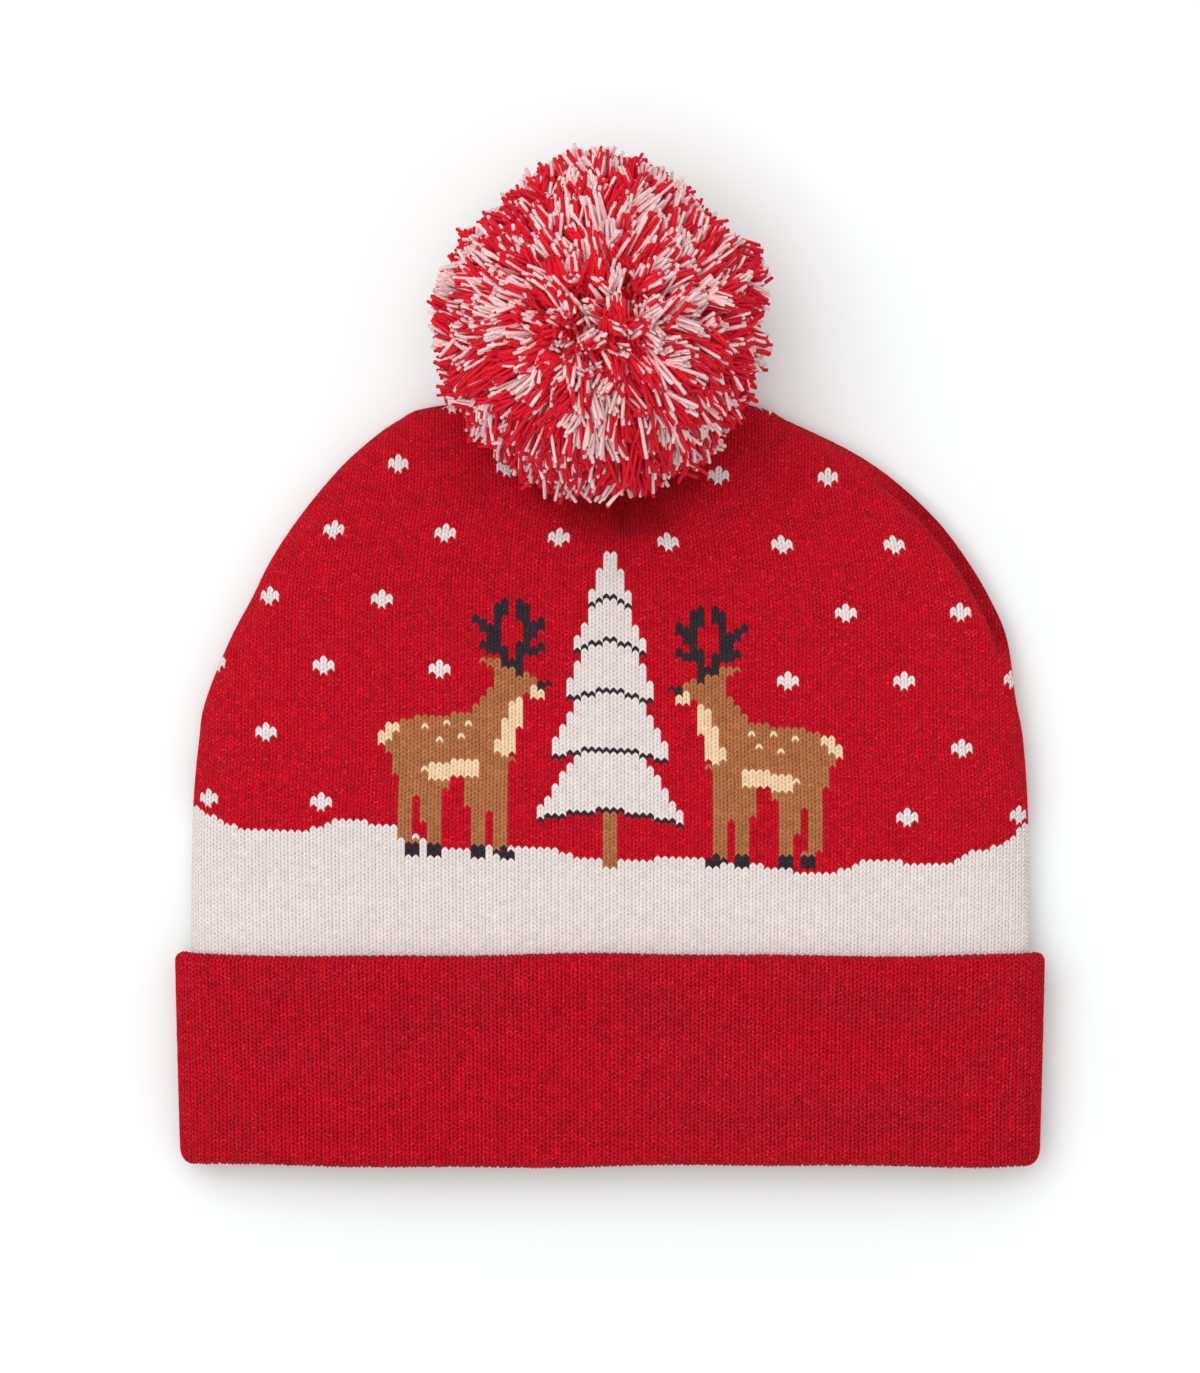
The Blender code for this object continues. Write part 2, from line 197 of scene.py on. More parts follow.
def gather_dip(x, y):
    """A bowl with a raised lip round the gathering point, a ripple cos(count * angle), and a tuck.

    The tuck is a face that drops over a millimetre or two just left of the point's line, and then
    comes back up as exp(-distance / run). All of it ends below the tie.
    """
    away = np.hypot(0.8 * (x - GATHER_X), y - GATHER_Y)
    angle = np.arctan2(x - GATHER_X, GATHER_Y - y)
    bowl = GATHER_DEPTH * (1 - smooth_step((away - 0.35 * GATHER_RIM) / (0.6 * GATHER_RIM)))
    lip = GATHER_LIP * np.exp(-(((away - 1.05 * GATHER_RIM) / (4.5 * MM)) ** 2))
    bell = np.exp(-((away / CREASE_REACH) ** 2)) * smooth_step(away / (8 * MM))
    ripple = CREASE_HEIGHT * bell * np.cos(CREASE_COUNT * angle)
    beyond = np.maximum(x - GATHER_X + TUCK_FACE, 0)
    tuck = TUCK_DEPTH * smooth_step(beyond / TUCK_FACE) * np.exp(-beyond / TUCK_RUN)
    tuck = tuck * smooth_step((y - TUCK_START) / (9 * MM))
    return (bowl - lip + ripple + tuck) * (1 - smooth_step((y - GATHER_END) / (10 * MM)))


def right_edge(y):
    """How far right the outline reaches at hat height y."""
    middle, half, *_ = section(y)
    return middle + half


def seam_parts(x, y):
    """How much of a ridge, and of the band outside it, is at each place, both from 0 to 1.

    inward is the distance to the outline square to it: its level distance over sqrt(1 + slope^2).
    """
    slope = (right_edge(y + MM) - right_edge(y - MM)) / (2 * MM)
    inward = (right_edge(y) - x) / np.sqrt(1 + slope**2)
    fade = smooth_step((y - SEAM_LOW) / (9 * MM)) * smooth_step((SEAM_HIGH - y) / (16 * MM))
    ridge = np.exp(-(((inward - SEAM_INSET - 1.2 * MM) / (1.6 * MM)) ** 2))
    band = 1 - smooth_step((inward - SEAM_INSET + 0.6 * MM) / (0.9 * MM))
    return ridge * fade, band * fade


def front_height(x, y, offset=0.0, gathered=True):
    """Fold level plus a dome sqrt(1 - |share|^5), where share runs -1 to 1 across.

    The dents are taken off it, and the seam's ridge and step are added.
    """
    middle, half, _, upper, level = section(y, offset)
    share = np.clip((x - middle) / np.maximum(half, 1e-9), -1, 1)
    dome = np.sqrt(1 - np.abs(share) ** DOME_POWER)
    dents = dent_depth(x, y) + gather_dip(x, y) if gathered else dent_depth(x, y)
    uneven = dents * (1 - share**4)
    plain = level + upper * dome - uneven * smooth_step(upper / (0.2 * BODY_THICKNESS))
    ridge, band = seam_parts(x, y)
    return np.maximum(plain + SEAM_RIDGE * ridge - SEAM_STEP * band, np.minimum(plain, level))


def back_height(x, y, offset=0.0):
    """Flat on the table, with a quarter ellipse up to the fold over the last few millimetres."""
    middle, half, lower, _, level = section(y, offset)
    share = np.clip((x - middle) / np.maximum(half, 1e-9), -1, 1)
    rounding = np.minimum(BACK_ROUNDING + offset, 0.9 * half + 1e-9)
    into = np.clip((np.abs(share) * half - (half - rounding)) / rounding, 0, 1)
    return level - lower * np.sqrt(1 - into**2)


print("deepest dent:", round(float(dent_depth(4.6 * MM, 184.5 * MM)) * 1000, 1), "mm")

# %% [markdown]
# Stockinette is columns of loops, called wales, and rows of loops, called courses. Seen close, each
# loop is two slanted legs that meet at the top, so a wale looks like a stack of arrowheads. The mesh
# follows that: its lines of vertices zigzag up to the middle of every wale and down to the groove
# beside it, so that one cell of the grid has the outline of one loop, and where the yarn changes
# colour the edge is toothed as it is in real knitting. The legs stand proud as two soft ridges.
#
# The wales run straight up the hat, and the crown is cut to its rounded shape across them. The grid
# keeps every wale's width and gives up the columns that fall outside the outline, row by row: their
# vertices are joined to the one on the outline, and the cells between them vanish.

# %% Sizes of the knit
Knit = namedtuple("Knit", "half_wales course zig_height ridge groove")
CROWN_KNIT = Knit(half_wales=59, course=1.173 * MM, zig_height=0.80, ridge=0.16 * MM, groove=0.20 * MM)
CUFF_KNIT = Knit(half_wales=56, course=1.22 * MM, zig_height=0.80, ridge=0.22 * MM, groove=0.36 * MM)
UNEVEN_RELIEF = 0.35
ZIGZAG = ((0, 0.25, 0.5, 0.75, 1), (0, 0.62, 1, 0.62, 0))
FINE_SIDE_WALES = 3
ROW_TILT = 2.5 * MM
ROW_TILT_REACH = 60 * MM
ROW_BOW = 1.6 * MM
SIDE_SAMPLES = 321
TOP_NARROWING = 0.07
NARROWING_START = 150 * MM
NARROWING_RUN = 50 * MM
LEAST_WIDTH = 0.99


def wale_columns(knit):
    """Places round the tube in wales: four lines to a wale in front and at the sides, two behind."""
    half = knit.half_wales
    near = half + FINE_SIDE_WALES
    far = 3 * half - FINE_SIDE_WALES
    fine = np.arange(-half, near, 0.25)
    coarse = np.arange(near, far, 0.5)
    rest = np.arange(far, 3 * half, 0.25)
    return np.concatenate([fine, coarse, rest])


print("grid lines round the crown:", len(wale_columns(CROWN_KNIT)))


# %% Lines across the flat tube
def row_drop(x):
    """The rows lie slightly askew: a tilt that levels off, tanh(x), less a bow that grows as x^2."""
    return ROW_TILT * np.tanh(x / ROW_TILT_REACH) - ROW_BOW * (2 * x / CROWN_WIDTH) ** 2


def gather_pull(x, y):
    """Near the gathering point the wales draw in towards its line: -pull * dx under a bell."""
    across = (x - GATHER_X) / PULL_ACROSS
    along = (y - GATHER_Y) / PULL_ALONG
    return -GATHER_PULL * (x - GATHER_X) * np.exp(-(across**2) - along**2)


def lines_across(heights, offsets, tilts, front):
    """Points (rows, samples, 3) where rows at these heights cross the front or the back.

    x = middle + half * share, and y = height - tilt * drop(x). Each depends on the other, so a few
    rounds of substitution settle both. Returns the points, and the points before the gather, by
    which the wales are measured out, so that they run straight past it.
    """
    share = np.sin(np.pi / 2 * np.linspace(-1, 1, SIDE_SAMPLES))
    share = share if front else share[::-1]
    x = np.zeros((len(heights), SIDE_SAMPLES))
    for _ in range(6):
        y = heights[:, None] - tilts[:, None] * row_drop(x)
        middle, half, *_ = section(y, offsets[:, None])
        x = middle + half * share
    if not front:
        back = np.stack([x, y, back_height(x, y, offsets[:, None])], axis=-1)
        return back, back
    plain = np.stack([x, y, front_height(x, y, offsets[:, None], gathered=False)], axis=-1)
    pulled = x + gather_pull(x, y)
    return np.stack([pulled, y, front_height(pulled, y, offsets[:, None])], axis=-1), plain


def along_rows(wanted, stations, values):
    """Linear interpolation in every row at once: the rows are laid end to end on one long axis."""
    shift = np.arange(len(stations))[:, None] * 2.0
    flat = np.interp((wanted + shift).ravel(), (stations + shift).ravel(), values.ravel())
    return flat.reshape(wanted.shape)


def arc_lengths(points):
    """Running distance along each row of points, starting at 0."""
    steps = np.linalg.norm(np.diff(points, axis=1), axis=2)
    return np.concatenate([np.zeros((len(points), 1)), np.cumsum(steps, axis=1)], axis=1)


# %% Wales laid along those lines
def lay_wales(points, plain, wales, half_wales, forward, narrowing):
    """Where each wale line meets each row of one side, and which of them fall off its end.

    A wale's width is the side's length over its number of wales, but never less than the width lower
    down, so that wales past the outline are cut off. Returns points and room, the distance left to
    the outline in wales.
    """
    arcs = arc_lengths(plain)
    centre = along_rows(np.zeros((len(arcs), 1)), forward * plain[..., 0], arcs)
    near, far = centre, arcs[:, -1:] - centre
    least_near, least_far = (
        LEAST_WIDTH * side.max() / half_wales * narrowing for side in (near, far)
    )
    near_width = np.maximum(near / half_wales, least_near)
    far_width = np.maximum(far / half_wales, least_far)
    width = np.where(wales < 0, near_width, far_width)
    wanted = centre + wales * width
    room = np.where(wales < 0, wanted, arcs[:, -1:] - wanted) / width
    wanted = np.clip(wanted, 0, arcs[:, -1:])
    laid = np.stack([along_rows(wanted, arcs, points[..., k]) for k in range(3)], axis=-1)
    return laid, room


def lay_knit(knit, heights, offsets, tilts):
    """The whole tube as a grid (rows, wale lines, 3), with the room to the outline at each point."""
    wales = wale_columns(knit)
    is_front = wales <= knit.half_wales
    narrowing = 1 - TOP_NARROWING * smooth_step((heights[:, None] - NARROWING_START) / NARROWING_RUN)
    front, front_plain = lines_across(heights, offsets, tilts, True)
    back, back_plain = lines_across(heights, offsets, tilts, False)
    laid_front, room_front = lay_wales(
        front, front_plain, wales[is_front], knit.half_wales, 1, narrowing
    )
    laid_back, room_back = lay_wales(
        back, back_plain, wales[~is_front] - 2 * knit.half_wales, knit.half_wales, -1, narrowing
    )
    laid = np.concatenate([laid_front, laid_back], axis=1)
    room = np.concatenate([room_front, room_back], axis=1)
    return wales, laid, room


def raise_loops(knit, wales, laid, room, amount):
    """Zigzag each row up to the middle of every wale, then lift the legs and sink the grooves.

    A point moves zigzag(f) of the way to the next row, where f is its place in its wale, and then
    along the surface's normal by relief(f). amount, one number a row, fades both out.
    """
    place = wales % 1
    zig = knit.zig_height * np.interp(place, *ZIGZAG)
    relief = np.interp(
        place,
        (0, 0.25, 0.5, 0.75, 1),
        (-knit.groove, knit.ridge, -0.25 * knit.groove, knit.ridge, -knit.groove),
    )
    fade = amount[:, None] * np.clip(room, 0, 1)
    onward = np.vstack([laid[1:], laid[-1:]])
    points = laid + (zig * np.minimum(fade, (room > 0.3)))[..., None] * (onward - laid)
    across = np.roll(points, -1, axis=1) - np.roll(points, 1, axis=1)
    normal = np.cross(across, np.gradient(laid, axis=0))
    length = np.linalg.norm(normal, axis=-1, keepdims=True)
    normal = np.divide(normal, length, out=np.zeros_like(normal), where=length > 1e-12)
    rng = np.random.default_rng(7)
    tension = 1 + UNEVEN_RELIEF * rng.standard_normal(laid.shape[:2])
    return points + normal * (relief * fade * tension)[..., None]


# %% From a grid to a mesh
def grid_triangles(index, wales, courses, turn, wrap_rows=False):
    """Two triangles for each cell of a grid of vertex numbers, with their UV corners in stitches.

    Cells whose corners share a vertex shrink, and a triangle that has lost a corner is dropped.
    turn is the number of wales once round, so that the last cell meets the first.
    """
    rows, columns = index.shape
    r, c = np.meshgrid(np.arange(rows if wrap_rows else rows - 1), np.arange(columns), indexing="ij")
    up, on = (r + 1) % rows, (c + 1) % columns
    quads = np.stack([index[r, c], index[r, on], index[up, on], index[up, c]], axis=-1)
    next_wale = np.append(wales[1:], wales[0] + turn)
    next_course = np.append(courses[1:], courses[-1] + 1)
    u0, u1, v0, v1 = wales[c], next_wale[c], courses[r], next_course[r]
    uv = np.stack([
        np.stack([u0, v0], -1),
        np.stack([u1, v0], -1),
        np.stack([u1, v1], -1),
        np.stack([u0, v1], -1),
    ], axis=-2)
    quads, uv = quads.reshape(-1, 4), uv.reshape(-1, 4, 2)
    triangles = np.concatenate([quads[:, [0, 1, 2]], quads[:, [0, 2, 3]]])
    corners = np.concatenate([uv[:, [0, 1, 2]], uv[:, [0, 2, 3]]])
    cell = np.tile(np.stack([uv[:, 0, 0], uv[:, 0, 1]], -1), (2, 1))
    a, b, d = triangles.T
    whole = (a != b) & (b != d) & (a != d)
    return triangles[whole], corners[whole], cell[whole]


def mesh_object(name, points, faces, uv=None, colours=None):
    """Arrays to a smooth mesh object: points (n, 3), faces (m, 3 or 4), uv and colour per corner."""
    used, faces = np.unique(faces, return_inverse=True)
    points = points[used]
    faces = faces.reshape(-1, uv.shape[1] if uv is not None else faces.shape[-1])
    mesh = bpy.data.meshes.new(name)
    mesh.vertices.add(len(points))
    mesh.vertices.foreach_set("co", points.astype(np.float32).ravel())
    mesh.loops.add(faces.size)
    mesh.loops.foreach_set("vertex_index", faces.astype(np.int32).ravel())
    mesh.polygons.add(len(faces))
    mesh.polygons.foreach_set("loop_start", np.arange(0, faces.size, faces.shape[1], dtype=np.int32))
    mesh.update(calc_edges=True)
    if uv is not None:
        layer = mesh.uv_layers.new(name="stitches")
        layer.data.foreach_set("uv", uv.astype(np.float32).ravel())
    if colours is not None:
        layer = mesh.attributes.new("yarn", "FLOAT_COLOR", "CORNER")
        layer.data.foreach_set("color", colours.astype(np.float32).ravel())
    mesh.shade_smooth()
    piece = bpy.data.objects.new(name, mesh)
    bpy.context.scene.collection.objects.link(piece)
    return piece


def in_world(points):
    """Hat heights become world y."""
    return points + np.array([0, CUFF_FOLD_Y, 0])


# %% [markdown]
# The picture is knitted in, so it is made of whole loops, each in one of five yarns. It could be
# painted from an image, but a chart worked out from shapes stays sharp and can be changed: every
# shape is a rounded stroke from one point to another, and a loop takes the colour of the last stroke
# that covers its middle. Two deer stand at a snow-laden fir, on a bank of snow, with small
# snowflakes above in a half-drop repeat of sixteen wales by sixteen courses.

# %% Yarn colours and the chart's scale
Yarn = namedtuple("Yarn", "name red green blue fleck")
YARNS = (
    Yarn("red", 0.560, 0.0030, 0.0150, 1.00),
    Yarn("white", 0.800, 0.730, 0.705, 0.30),
    Yarn("black", 0.030, 0.024, 0.033, 0.80),
    Yarn("brown", 0.440, 0.165, 0.064, 0.80),
    Yarn("cream", 0.880, 0.640, 0.400, 0.35),
)
RED, WHITE, BLACK, BROWN, CREAM = range(5)
LOOP_SHADE = 0.07
WALE_WIDTH = 1.95 * MM
FIRST_ROW = 50 * MM
GROUND = 84 * MM

Stroke = namedtuple("Stroke", "yarn x0 y0 r0 x1 y1 r1")
DEER = (
    Stroke(BROWN, 7, 25, 5.6, 5, 15, 2.5),
    Stroke(BROWN, 5, 15, 2.3, 6, 2, 1.9),
    Stroke(BROWN, 12, 22, 4.0, 12.6, 2, 1.9),
    Stroke(BROWN, 25, 24, 4.2, 24, 2, 1.9),
    Stroke(BROWN, 29, 27, 4.2, 31, 2, 1.9),
    Stroke(BROWN, 8, 29, 8.2, 25, 31, 8.0),
    Stroke(BROWN, 26, 34, 6.4, 32.5, 47, 3.6),
    Stroke(BROWN, 33, 49, 4.0, 39.5, 46, 2.5),
    Stroke(BROWN, 30, 51.5, 1.5, 26.5, 53.5, 1.2),
    Stroke(CREAM, 12, 22.5, 2.3, 23, 23.4, 2.3),
    Stroke(CREAM, 31.5, 30, 2.6, 34.5, 41.5, 1.7),
    Stroke(CREAM, 0.5, 34, 1.8, -1.5, 30, 1.3),
    Stroke(CREAM, 39.6, 45.4, 1.9, 40.4, 45.4, 1.9),
    Stroke(CREAM, 10, 34.5, 0.9, 10, 34.6, 0.9),
    Stroke(CREAM, 16, 36, 0.9, 16, 36.1, 0.9),
    Stroke(CREAM, 22, 36, 0.9, 22, 36.1, 0.9),
    Stroke(CREAM, 13, 31, 0.9, 13, 31.1, 0.9),
    Stroke(CREAM, 19, 32, 0.9, 19, 32.1, 0.9),
    Stroke(BLACK, 41.5, 47, 1.1, 42, 47, 1.1),
    Stroke(BLACK, 35, 50, 1.0, 35, 50.2, 1.0),
    Stroke(BLACK, 6, 0.5, 2.0, 6.4, 0.5, 2.0),
    Stroke(BLACK, 12.8, 0.5, 2.0, 13.2, 0.5, 2.0),
    Stroke(BLACK, 24, 0.5, 2.0, 24.4, 0.5, 2.0),
    Stroke(BLACK, 31.2, 0.5, 2.0, 31.6, 0.5, 2.0),
    Stroke(BLACK, 32, 53, 1.5, 28.5, 60, 1.4),
    Stroke(BLACK, 28.5, 60, 1.4, 30.5, 69, 1.3),
    Stroke(BLACK, 28.5, 60, 1.3, 23.5, 65, 1.2),
    Stroke(BLACK, 30, 56, 1.3, 25, 58, 1.2),
    Stroke(BLACK, 34.5, 53, 1.5, 37, 60, 1.4),
    Stroke(BLACK, 37, 60, 1.4, 36, 69, 1.3),
    Stroke(BLACK, 37, 60, 1.3, 41.5, 65, 1.2),
    Stroke(BLACK, 35.8, 56, 1.3, 40.5, 57, 1.2),
)
DEER_LENGTH = 42
DEER_NOSE_GAP = 17.5

Tier = namedtuple("Tier", "low high half_low half_high")
FIR_TIERS = (
    Tier(13, 34, 19, 6),
    Tier(30, 50, 16, 5),
    Tier(46, 64, 12.5, 3.5),
    Tier(60, 76, 9, 2),
    Tier(72, 86, 5.5, 0.5),
)
FIR_TRUNK_HALF = 2.9
FIR_DROOP = 3.0


# %% Shapes on the chart
def stroke_covers(stroke, x, y):
    """Distance to a line from (x0, y0) to (x1, y1), against a radius that runs from r0 to r1."""
    dx, dy = stroke.x1 - stroke.x0, stroke.y1 - stroke.y0
    along = np.clip(((x - stroke.x0) * dx + (y - stroke.y0) * dy) / (dx * dx + dy * dy), 0, 1)
    away = np.hypot(x - stroke.x0 - along * dx, y - stroke.y0 - along * dy)
    return away <= stroke.r0 + along * (stroke.r1 - stroke.r0)


def knit_deer(chart, x, y):
    """Both deer, mirrored about the middle, their noses towards the fir."""
    for stroke in DEER:
        chart[stroke_covers(stroke, DEER_LENGTH + DEER_NOSE_GAP - np.abs(x), y)] = stroke.yarn


def knit_fir(chart, x, y):
    """A trunk, then tiers from the lowest up: each narrows upwards and droops outwards, dark below."""
    course = CROWN_KNIT.course / MM
    chart[(np.abs(x) < FIR_TRUNK_HALF) & (y > -2) & (y < FIR_TIERS[0].low + 6)] = BROWN
    for tier in FIR_TIERS:
        rise = np.clip((y - tier.low) / (tier.high - tier.low), 0, 1)
        half = tier.half_low + (tier.half_high - tier.half_low) * rise
        hem = tier.low - FIR_DROOP * (np.abs(x) / tier.half_low) ** 2
        above = np.round((y - hem) / course)
        inside = (np.abs(x) < half) & (y < tier.high)
        chart[inside & (above == 0)] = BLACK
        chart[inside & (above > 0)] = WHITE


def motif_chart(x, y):
    """The picture's yarn at each place, in millimetres from the middle of the ground, or -1."""
    chart = np.full(x.shape, -1)
    knit_fir(chart, x, y)
    knit_deer(chart, x, y)
    return chart


# %% Snow bank and snowflakes
Bank = namedtuple("Bank", "wale course")
SNOW_BANK = (
    Bank(-59, 38), Bank(-51, 33), Bank(-43, 32), Bank(-36, 36), Bank(-29, 34), Bank(-22, 29),
    Bank(-12, 31), Bank(0, 28), Bank(12, 30), Bank(21, 28), Bank(29, 26), Bank(36, 30),
    Bank(44, 28), Bank(52, 32), Bank(59, 38), Bank(71, 34), Bank(85, 37), Bank(99, 31),
    Bank(113, 35), Bank(127, 31), Bank(141, 36), Bank(155, 32), Bank(168, 35), Bank(177, 38),
)
FLAKE_WALES = 16
FLAKE_COURSES = 16
FIRST_FLAKE_WALE = 8
FIRST_FLAKE_COURSE = 39
TOP_FLAKE_COURSE = 110
TOP_FLAKE_WALES = 40


def snow_height(wale):
    """The bank's rounded top: a cosine blend from each point of the table to the next."""
    places = np.array([bank.wale for bank in SNOW_BANK])
    tops = np.array([bank.course for bank in SNOW_BANK])
    i = np.clip(np.searchsorted(places, wale, side="right") - 1, 0, len(places) - 2)
    t = np.clip((wale - places[i]) / (places[i + 1] - places[i]), 0, 1)
    return tops[i] + (tops[i + 1] - tops[i]) * (1 - np.cos(np.pi * t)) / 2


def on_flake(wale, course):
    """A plus of loops, four courses tall in the middle wale and two in each neighbour."""
    band = np.round((course - FIRST_FLAKE_COURSE) / FLAKE_COURSES)
    up = course - FIRST_FLAKE_COURSE - band * FLAKE_COURSES
    half_drop = FLAKE_WALES / 2 * (band % 2)
    across = (wale - FIRST_FLAKE_WALE - half_drop + FLAKE_WALES / 2) % FLAKE_WALES - FLAKE_WALES / 2
    arm = (np.abs(across) == 0) & (up >= -1) & (up <= 2)
    side = (np.abs(across) == 1) & (up >= 0) & (up <= 1)
    return (arm | side) & (band >= 0), across, up


def chart_of(wale, course):
    """The yarn of every loop: snow below the bank, then the picture, and flakes where both are clear.

    The highest flakes stop short of the outline, which would cut them.
    """
    x = (wale + 0.5) * WALE_WIDTH / MM
    y = (FIRST_ROW + (course + 0.5) * CROWN_KNIT.course - GROUND) / MM
    flake, across, up = on_flake(wale, course)
    centre_x, centre_y = x - across * WALE_WIDTH / MM, y - up * CROWN_KNIT.course / MM
    clear = (course < TOP_FLAKE_COURSE) | (np.abs(wale - across) < TOP_FLAKE_WALES)
    for dx in (-8, -4, 0, 4, 8):
        for dy in (-6, -3, 0, 3, 6):
            clear &= motif_chart(centre_x + dx, centre_y + dy) < 0
    chart = np.where(course < snow_height(wale + 0.5), WHITE, RED)
    chart[flake & clear] = WHITE
    motif = motif_chart(x, y)
    return np.where((motif >= 0) & (np.abs(wale) < 59), motif, chart)


trial_wales, trial_courses = np.meshgrid(np.arange(-59, 59), np.arange(0, 140))
trial = chart_of(trial_wales, trial_courses)
print("loops of each yarn:", {yarn.name: int((trial == k).sum()) for k, yarn in enumerate(YARNS)})


# %% Colour of every cell
def yarn_colours(chart, seed):
    """Each loop's yarn colour times 1 + spread * fleck * noise, with its fleckiness as alpha."""
    table = np.array([(yarn.red, yarn.green, yarn.blue, yarn.fleck) for yarn in YARNS])[chart]
    shade = 1 + LOOP_SHADE * table[:, 3] * np.random.default_rng(seed).standard_normal(len(chart))
    return np.column_stack([np.clip(table[:, :3] * shade[:, None], 0, 1), table[:, 3]])


def corner_colours(cell, chart_function, seed):
    """One colour for each loop, repeated at every corner of its triangles."""
    wale = np.floor(cell[:, 0] + 1e-6).astype(int)
    course = np.round(cell[:, 1]).astype(int)
    loops, inverse = np.unique(np.stack([wale, course], -1), axis=0, return_inverse=True)
    colours = yarn_colours(chart_function(loops[:, 0], loops[:, 1]), seed)[inverse.reshape(-1)]
    return np.repeat(colours[:, None], 3, axis=1)


# %% [markdown]
# The crown is one closed skin. It starts inside at the top, runs down the inside to the hem, turns
# round it, and climbs the outside to the top again. The inside and the part behind the cuff are
# seldom seen, so they are coarse, and the rest has its loops.

# %% Make the crown
INNER_ROWS = 26
MERGED_LINES = 8
TILT_START = 25 * MM
TILT_START_RUN = 25 * MM
TILT_END = 196 * MM
TILT_END_RUN = 14 * MM


def make_crown():
    """Inside rows, hem and outside rows as one grid, with the coarse rows' lines merged by eights."""
    knit = CROWN_KNIT
    top = CROWN_LENGTH - 0.4 * knit.course
    inner_share = np.sin(np.linspace(1, 0, INNER_ROWS) * np.pi / 2)
    inside = CROWN_HEM + (top - FABRIC - CROWN_HEM) * inner_share
    hidden = np.linspace(CROWN_HEM, FIRST_ROW, 5)[:-1]
    stitched = np.arange(FIRST_ROW, top, knit.course)
    heights = np.concatenate([inside, hidden, stitched, [top]])
    offsets = np.where(np.arange(len(heights)) < len(inside), -FABRIC, 0.0)
    outside = np.arange(len(heights)) >= len(inside) + len(hidden)
    tilts = smooth_step((heights - TILT_START) / TILT_START_RUN)
    tilts = tilts * (1 - smooth_step((heights - TILT_END) / TILT_END_RUN))
    wales, laid, room = lay_knit(knit, heights, offsets, tilts)
    points = raise_loops(knit, wales, laid, room, outside.astype(float))
    count = len(wales)
    index = np.arange(laid.size // 3).reshape(laid.shape[:2])
    left = np.zeros(count, int)
    right = np.full(count, np.searchsorted(wales, knit.half_wales))
    is_left = (wales < 0) | (wales > 2 * knit.half_wales)
    fold = index[:, 0:1] + np.where(is_left, left, right)
    index = np.where(room < 0.02, fold, index)
    merged = (np.arange(count) // MERGED_LINES) * MERGED_LINES
    coarse = ~outside
    coarse[len(inside)] = False
    index[coarse] = index[coarse][:, merged]
    index[0] = index[0, 0]
    index[-1] = index[-1, 0]
    courses = np.concatenate([
        (inside - FIRST_ROW) / knit.course,
        (hidden - FIRST_ROW) / knit.course,
        np.arange(len(stitched) + 1),
    ])
    turn = 4 * knit.half_wales
    faces, uv, cell = grid_triangles(index, wales, courses, turn)
    colours = corner_colours(cell, chart_of, 11)
    # Painted shade: the loops in the band outside the seam are darkened, as for the shadow beside its
    # ridge.
    middle = points.reshape(-1, 3)[faces].mean(axis=1)
    _, band = seam_parts(middle[:, 0], middle[:, 1])
    colours[..., :3] *= (1 - SEAM_PAINTED_SHADE * band)[:, None, None]
    crown = mesh_object("knitted_crown", in_world(points.reshape(-1, 3)), faces, uv, colours)
    print("crown:", len(faces), "triangles,", len(stitched), "courses")
    return crown


crown = make_crown()

# %% [markdown]
# The cuff is the same knit folded up on the outside. Its cut edge is a long hook: under the crown's
# hem, round the bottom fold, up the outer face, over the rounded top edge and down behind. Carrying
# that profile round the tube gives the whole cuff, and a row of loops is laid at every 1.22 mm along
# it. Folded knit springs up a little, so two soft swells run across its front.

# %% Make the cuff
CUFF_WAVE = 0.35 * MM
CUFF_SWELL = 1.5 * MM
CUFF_CREST = 20 * MM
CUFF_CREST_STEP = 32 * MM


def cuff_profile():
    """The hook as (offset, height), sampled evenly along its length and closed on itself."""
    inner, outer = FIT_GAP, FIT_GAP + CUFF_LEAF
    edge = CUFF_LEAF / 2
    shelf = CUFF_FOLD_DEPTH + CUFF_SHELF
    fold_half, fold_middle = (outer + FABRIC) / 2, (outer - FABRIC) / 2
    turn = np.linspace(np.pi, 0, 24)
    under = np.stack([
        fold_middle + fold_half * np.cos(turn),
        CUFF_FOLD_DEPTH * (1 - np.sin(turn)),
    ], -1)
    over = np.stack([
        inner + edge + edge * np.cos(np.linspace(0, np.pi, 20)),
        CUFF_HEIGHT - edge + edge * np.sin(np.linspace(0, np.pi, 20)),
    ], -1)
    rough = np.vstack([[(-FABRIC, shelf)], under, over, [(inner, shelf), (-FABRIC, shelf)]])
    steps = np.append(0, np.cumsum(np.linalg.norm(np.diff(rough, axis=0), axis=1)))
    return rough, steps


def all_red(wale, course):
    """The cuff's chart: every loop red."""
    return np.full(wale.shape, RED)


def cuff_swell(points, offsets):
    """Two soft swells across the front: cos(2 pi (y - crest) / step), only on the outer face.

    It fades to nothing at the folds as 1 - share^4, and at the cuff's two ends.
    """
    x, y, z = points[..., 0], points[..., 1], points[..., 2]
    middle, half, _, _, level = section(y, offsets[:, None])
    share = np.clip((x - middle) / half, -1, 1)
    outer = smooth_step((offsets[:, None] - FIT_GAP) / CUFF_LEAF * 2 - 1)
    ends = smooth_step(y / (10 * MM)) * smooth_step((CUFF_HEIGHT - y) / (5 * MM))
    wave = np.cos(2 * np.pi * (y - CUFF_CREST) / CUFF_CREST_STEP)
    return CUFF_SWELL * wave * outer * ends * (1 - share**4) * (z > level)


